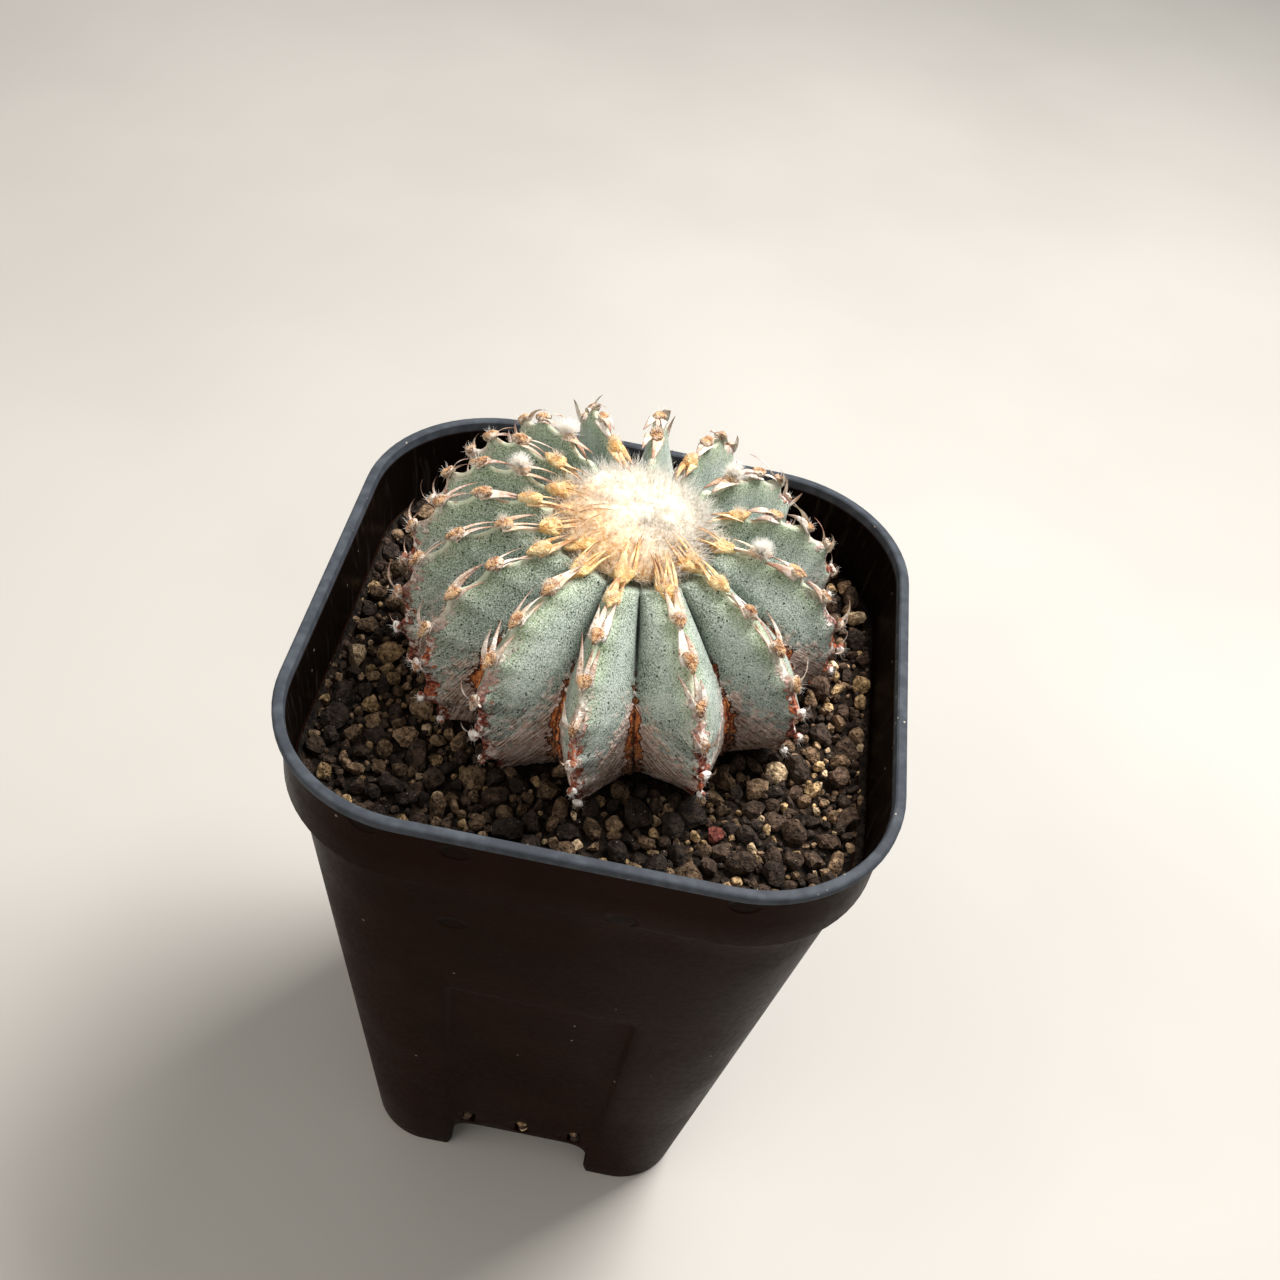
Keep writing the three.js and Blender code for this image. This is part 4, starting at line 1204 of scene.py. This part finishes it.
def hairs(root, rise, length, radius, wave, random):
    """Fine three-sided hairs that end nearly in a point: the line is root + length * (t rise + a
    side step of wave * (sin(3t + phase) - sin(phase))), and the radius falls by four fifths."""
    count = len(root)
    way = np.linspace(0, 1, HAIR_ROWS)[None, :, None]
    aside = unit(np.cross(rise, random.normal(size=(count, 3))))
    other = np.cross(rise, aside)
    phase = random.uniform(0, FULL_TURN, (count, 1, 1))
    sway = np.sin(3 * way + phase) - np.sin(phase)
    line = root[:, None] + length[:, None, None] * (way * rise[:, None] + wave * sway * aside[:, None])
    turn = round_steps(3)[:, None]
    ring = np.cos(turn) * aside[:, None, None] + np.sin(turn) * other[:, None, None]
    return line[:, :, None] + radius * (1 - 0.8 * way)[..., None] * ring


wool_random = np.random.default_rng(WOOL_SEED)
spread = np.sqrt(wool_random.uniform(0, 1, HAIR_COUNT))
hair_turn = wool_random.uniform(0, FULL_TURN, HAIR_COUNT)
hair_height = HAIRS_FROM_HEIGHT - 2.5 * spread ** 2.6
hair_root = in_plant(HAIRS_FROM_RADIUS * spread, hair_turn, hair_height) + WOOL_SHIFT
hair_root[:, 0] += (WOOL_WIDTH - 1) * (hair_root[:, 0] - wool_middle[0])
outward = outward_at(hair_turn)
rear = np.clip(0.5 + 0.7 * outward @ np.array([0.6, 0.8, 0]), 0, 1) * spread
hair_rise = unit(outward * (0.1 + 0.9 * spread[:, None] ** 2.5) + UP * (0.6 - 0.2 * spread[:, None])
                 + wool_random.normal(0, 0.7, (HAIR_COUNT, 3)))
hair_length = wool_random.uniform(0.9, 2.2, HAIR_COUNT) * (1 + 0.8 * rear ** 2)
wool_hairs = new_tubes("crown_wool_hairs", hairs(
    hair_root, hair_rise, hair_length, HAIR_RADIUS, HAIR_WAVE, wool_random))
give_number(wool_hairs, "along", np.tile(np.repeat(np.linspace(0, 1, HAIR_ROWS), 3), HAIR_COUNT))


def wool_colour(tree):
    """Wool painted white towards the lit back right and golden cream towards the front left in ragged
    patches, partly its own colour and partly painted light, and darker at the hairs' roots as painted shade."""
    spot = place(tree)
    x, y, _ = split(spot)
    # Painted light: the wool is painted whiter towards the back right, where the window light falls on it.
    towards_lit_back = x * 0.7 + y + mottle(spot, 260) * 0.005
    golden = mottled(spot, 1500, (196, 153, 100), (230, 204, 164))
    cream = mottled(spot, 900, (220, 208, 186), (241, 235, 222))
    wool = mixed(ramped(towards_lit_back, -0.0015, 0.008), golden, cream)
    # Painted shade: the hairs are painted darker at their roots, where they shade each other.
    return mixed(ramped(own(tree, "along"), 0.0, 0.6), shade_of(wool, 0.9, 1.15), wool)


# What the wool and the areoles' hairs share: a low shine, and how far light of each colour
# spreads inside them.
IN_WOOL = {"Specular_IOR_Level": 0.2, "Subsurface_Radius": (1, 0.85, 0.65)}
wool_finish = finish_material("plant wool", wool_colour, 0.9, Sheen_Weight=0.15, Subsurface_Weight=0.65,
                              Subsurface_Scale=0.003, **IN_WOOL)
dress(wool_core, wool_finish, "wool", "crown_wool")
dress(wool_hairs, wool_finish, "wool", "crown_wool")

# ---- Areole hairs ----
# The same fine wool grows from the areoles: golden and short on the young ones, sparse on the
# grown ones, and a white tuft on a few of them.
FUZZ_SEED = 52
YOUNG_FUZZ, GROWN_FUZZ, TUFT_HAIRS = 150, 22, 900
FUZZ_RADIUS, FUZZ_WAVE = 0.028, 0.12
LONG_FUZZ = 1.7
# Areoles with a white tuft, by rib and place down the crest.
TUFTED = [(3, 0), (9, 0), (11, 0), (5, 0)]

fuzz_random = np.random.default_rng(FUZZ_SEED)
tufted = np.array([(rib, index) in TUFTED for rib, index in zip(areole_rib, areole_index)])
fuzz_count = np.where(tufted, TUFT_HAIRS, np.where(areole_index < 1, YOUNG_FUZZ, GROWN_FUZZ))
fuzz_of = np.repeat(np.arange(areole_count), fuzz_count)
on_youngest = areole_index[fuzz_of] < 0
brushed = np.where(tufted, 1.7, 0.9)[fuzz_of, None]
fuzz_rise = unit(fuzz_random.normal(size=(len(fuzz_of), 3)) + areole_off[fuzz_of] * brushed)
fuzz_root = areole_at[fuzz_of] + fuzz_rise * (0.55 * areole_sizes[fuzz_of].mean(-1, keepdims=True))
fuzz_root += areole_up[fuzz_of] * fuzz_random.uniform(-0.9, 0.9, (len(fuzz_of), 1)) * on_youngest[:, None]
longer = np.where(tufted[fuzz_of] | on_youngest, LONG_FUZZ, 1)
fuzz_length = fuzz_random.uniform(0.5, 1.3, len(fuzz_of)) * longer
areole_hairs = new_tubes("areole_hairs", hairs(
    fuzz_root, fuzz_rise, fuzz_length, FUZZ_RADIUS, FUZZ_WAVE, fuzz_random))
white_share = np.where(tufted, 1.0, fade(areole_down, 0.05, 0.3))[fuzz_of]
give_number(areole_hairs, "white", np.repeat(white_share, HAIR_ROWS * 3))


def fuzz_colour(tree):
    """Golden on the young areoles, white on the rest."""
    shade = mottle(place(tree), 900)
    golden = mixed(shade, (222, 170, 96), (248, 220, 164))
    return mixed(own(tree, "white"), golden, mixed(shade, (240, 224, 198), (254, 248, 236)))


fuzz_finish = finish_material("areole hairs", fuzz_colour, 0.85, Sheen_Weight=0.3, Subsurface_Weight=0.7,
                              Subsurface_Scale=0.002, **IN_WOOL)
dress(areole_hairs, fuzz_finish, "wool", "cactus")

# ---- Floor, lights and camera ----
# A plain pale floor under soft studio light, seen from above the front of the pot with the
# camera rolled a little, as the plant was looked at.
FLOOR_HALF = 3000
CAMERA_PLACE = (4.18, -155.09, 272.12)
CAMERA_RIGHT = (0.98022, 0.14085, 0.13907)
CAMERA_AIM = (-0.00157, 0.70810, -0.70611)
SENSOR, FOCAL_SHARE = 36, 1.1199
DAYLIGHT, WARM_LIGHT = (1, 0.98, 0.95), (1, 0.92, 0.8)
WORLD_STRENGTH = 0.44

corners = np.array([[-1, -1, 0], [1, -1, 0], [1, 1, 0], [-1, 1, 0]]) * FLOOR_HALF
floor = new_solid("floor", corners, [np.array([[0, 1, 2, 3]])], smooth=False)


def floor_colour(tree):
    """Pale grey, very slightly uneven."""
    return mottled(place(tree), 6, (174, 171, 166), (180, 177, 172))


floor.data.materials.append(finish_material("studio floor", floor_colour, 0.7))


def soft_light(name, stand, aim, size, power, colour):
    """A square area light, turned to look from where it stands to its aim."""
    light = bpy.data.lights.new(name, "AREA")
    light.size = size * MM
    light.energy = power
    light.color = colour
    lamp = bpy.data.objects.new(name, light)
    lamp.location = np.array(stand) * MM
    lamp.rotation_euler = Vector(np.array(stand) - np.array(aim)).to_track_quat("Z", "Y").to_euler()
    bpy.context.scene.collection.objects.link(lamp)


soft_light("window", (245, 245, 690), (0, 0, 110), 330, 9.8, DAYLIGHT)
soft_light("fill", (-520, -420, 520), (0, 0, 90), 700, 2.6, WARM_LIGHT)
world = bpy.data.worlds.new("studio")
world.use_nodes = True
sky = world.node_tree.nodes["Background"].inputs
sky[0].default_value = (*DAYLIGHT, 1)
sky[1].default_value = WORLD_STRENGTH
bpy.context.scene.world = world
bpy.context.scene.view_settings.view_transform = "Standard"

lens = bpy.data.cameras.new("camera")
lens.sensor_width = SENSOR
lens.lens = SENSOR * FOCAL_SHARE
lens.clip_start = 0.01
lens.clip_end = 20
camera = bpy.data.objects.new("camera", lens)
right, aim = Vector(CAMERA_RIGHT).normalized(), Vector(CAMERA_AIM).normalized()
turn = Matrix((right, right.cross(aim), -aim)).transposed()
camera.matrix_world = Matrix.Translation(Vector(CAMERA_PLACE) * MM) @ turn.to_4x4()
bpy.context.scene.collection.objects.link(camera)
bpy.context.scene.camera = camera
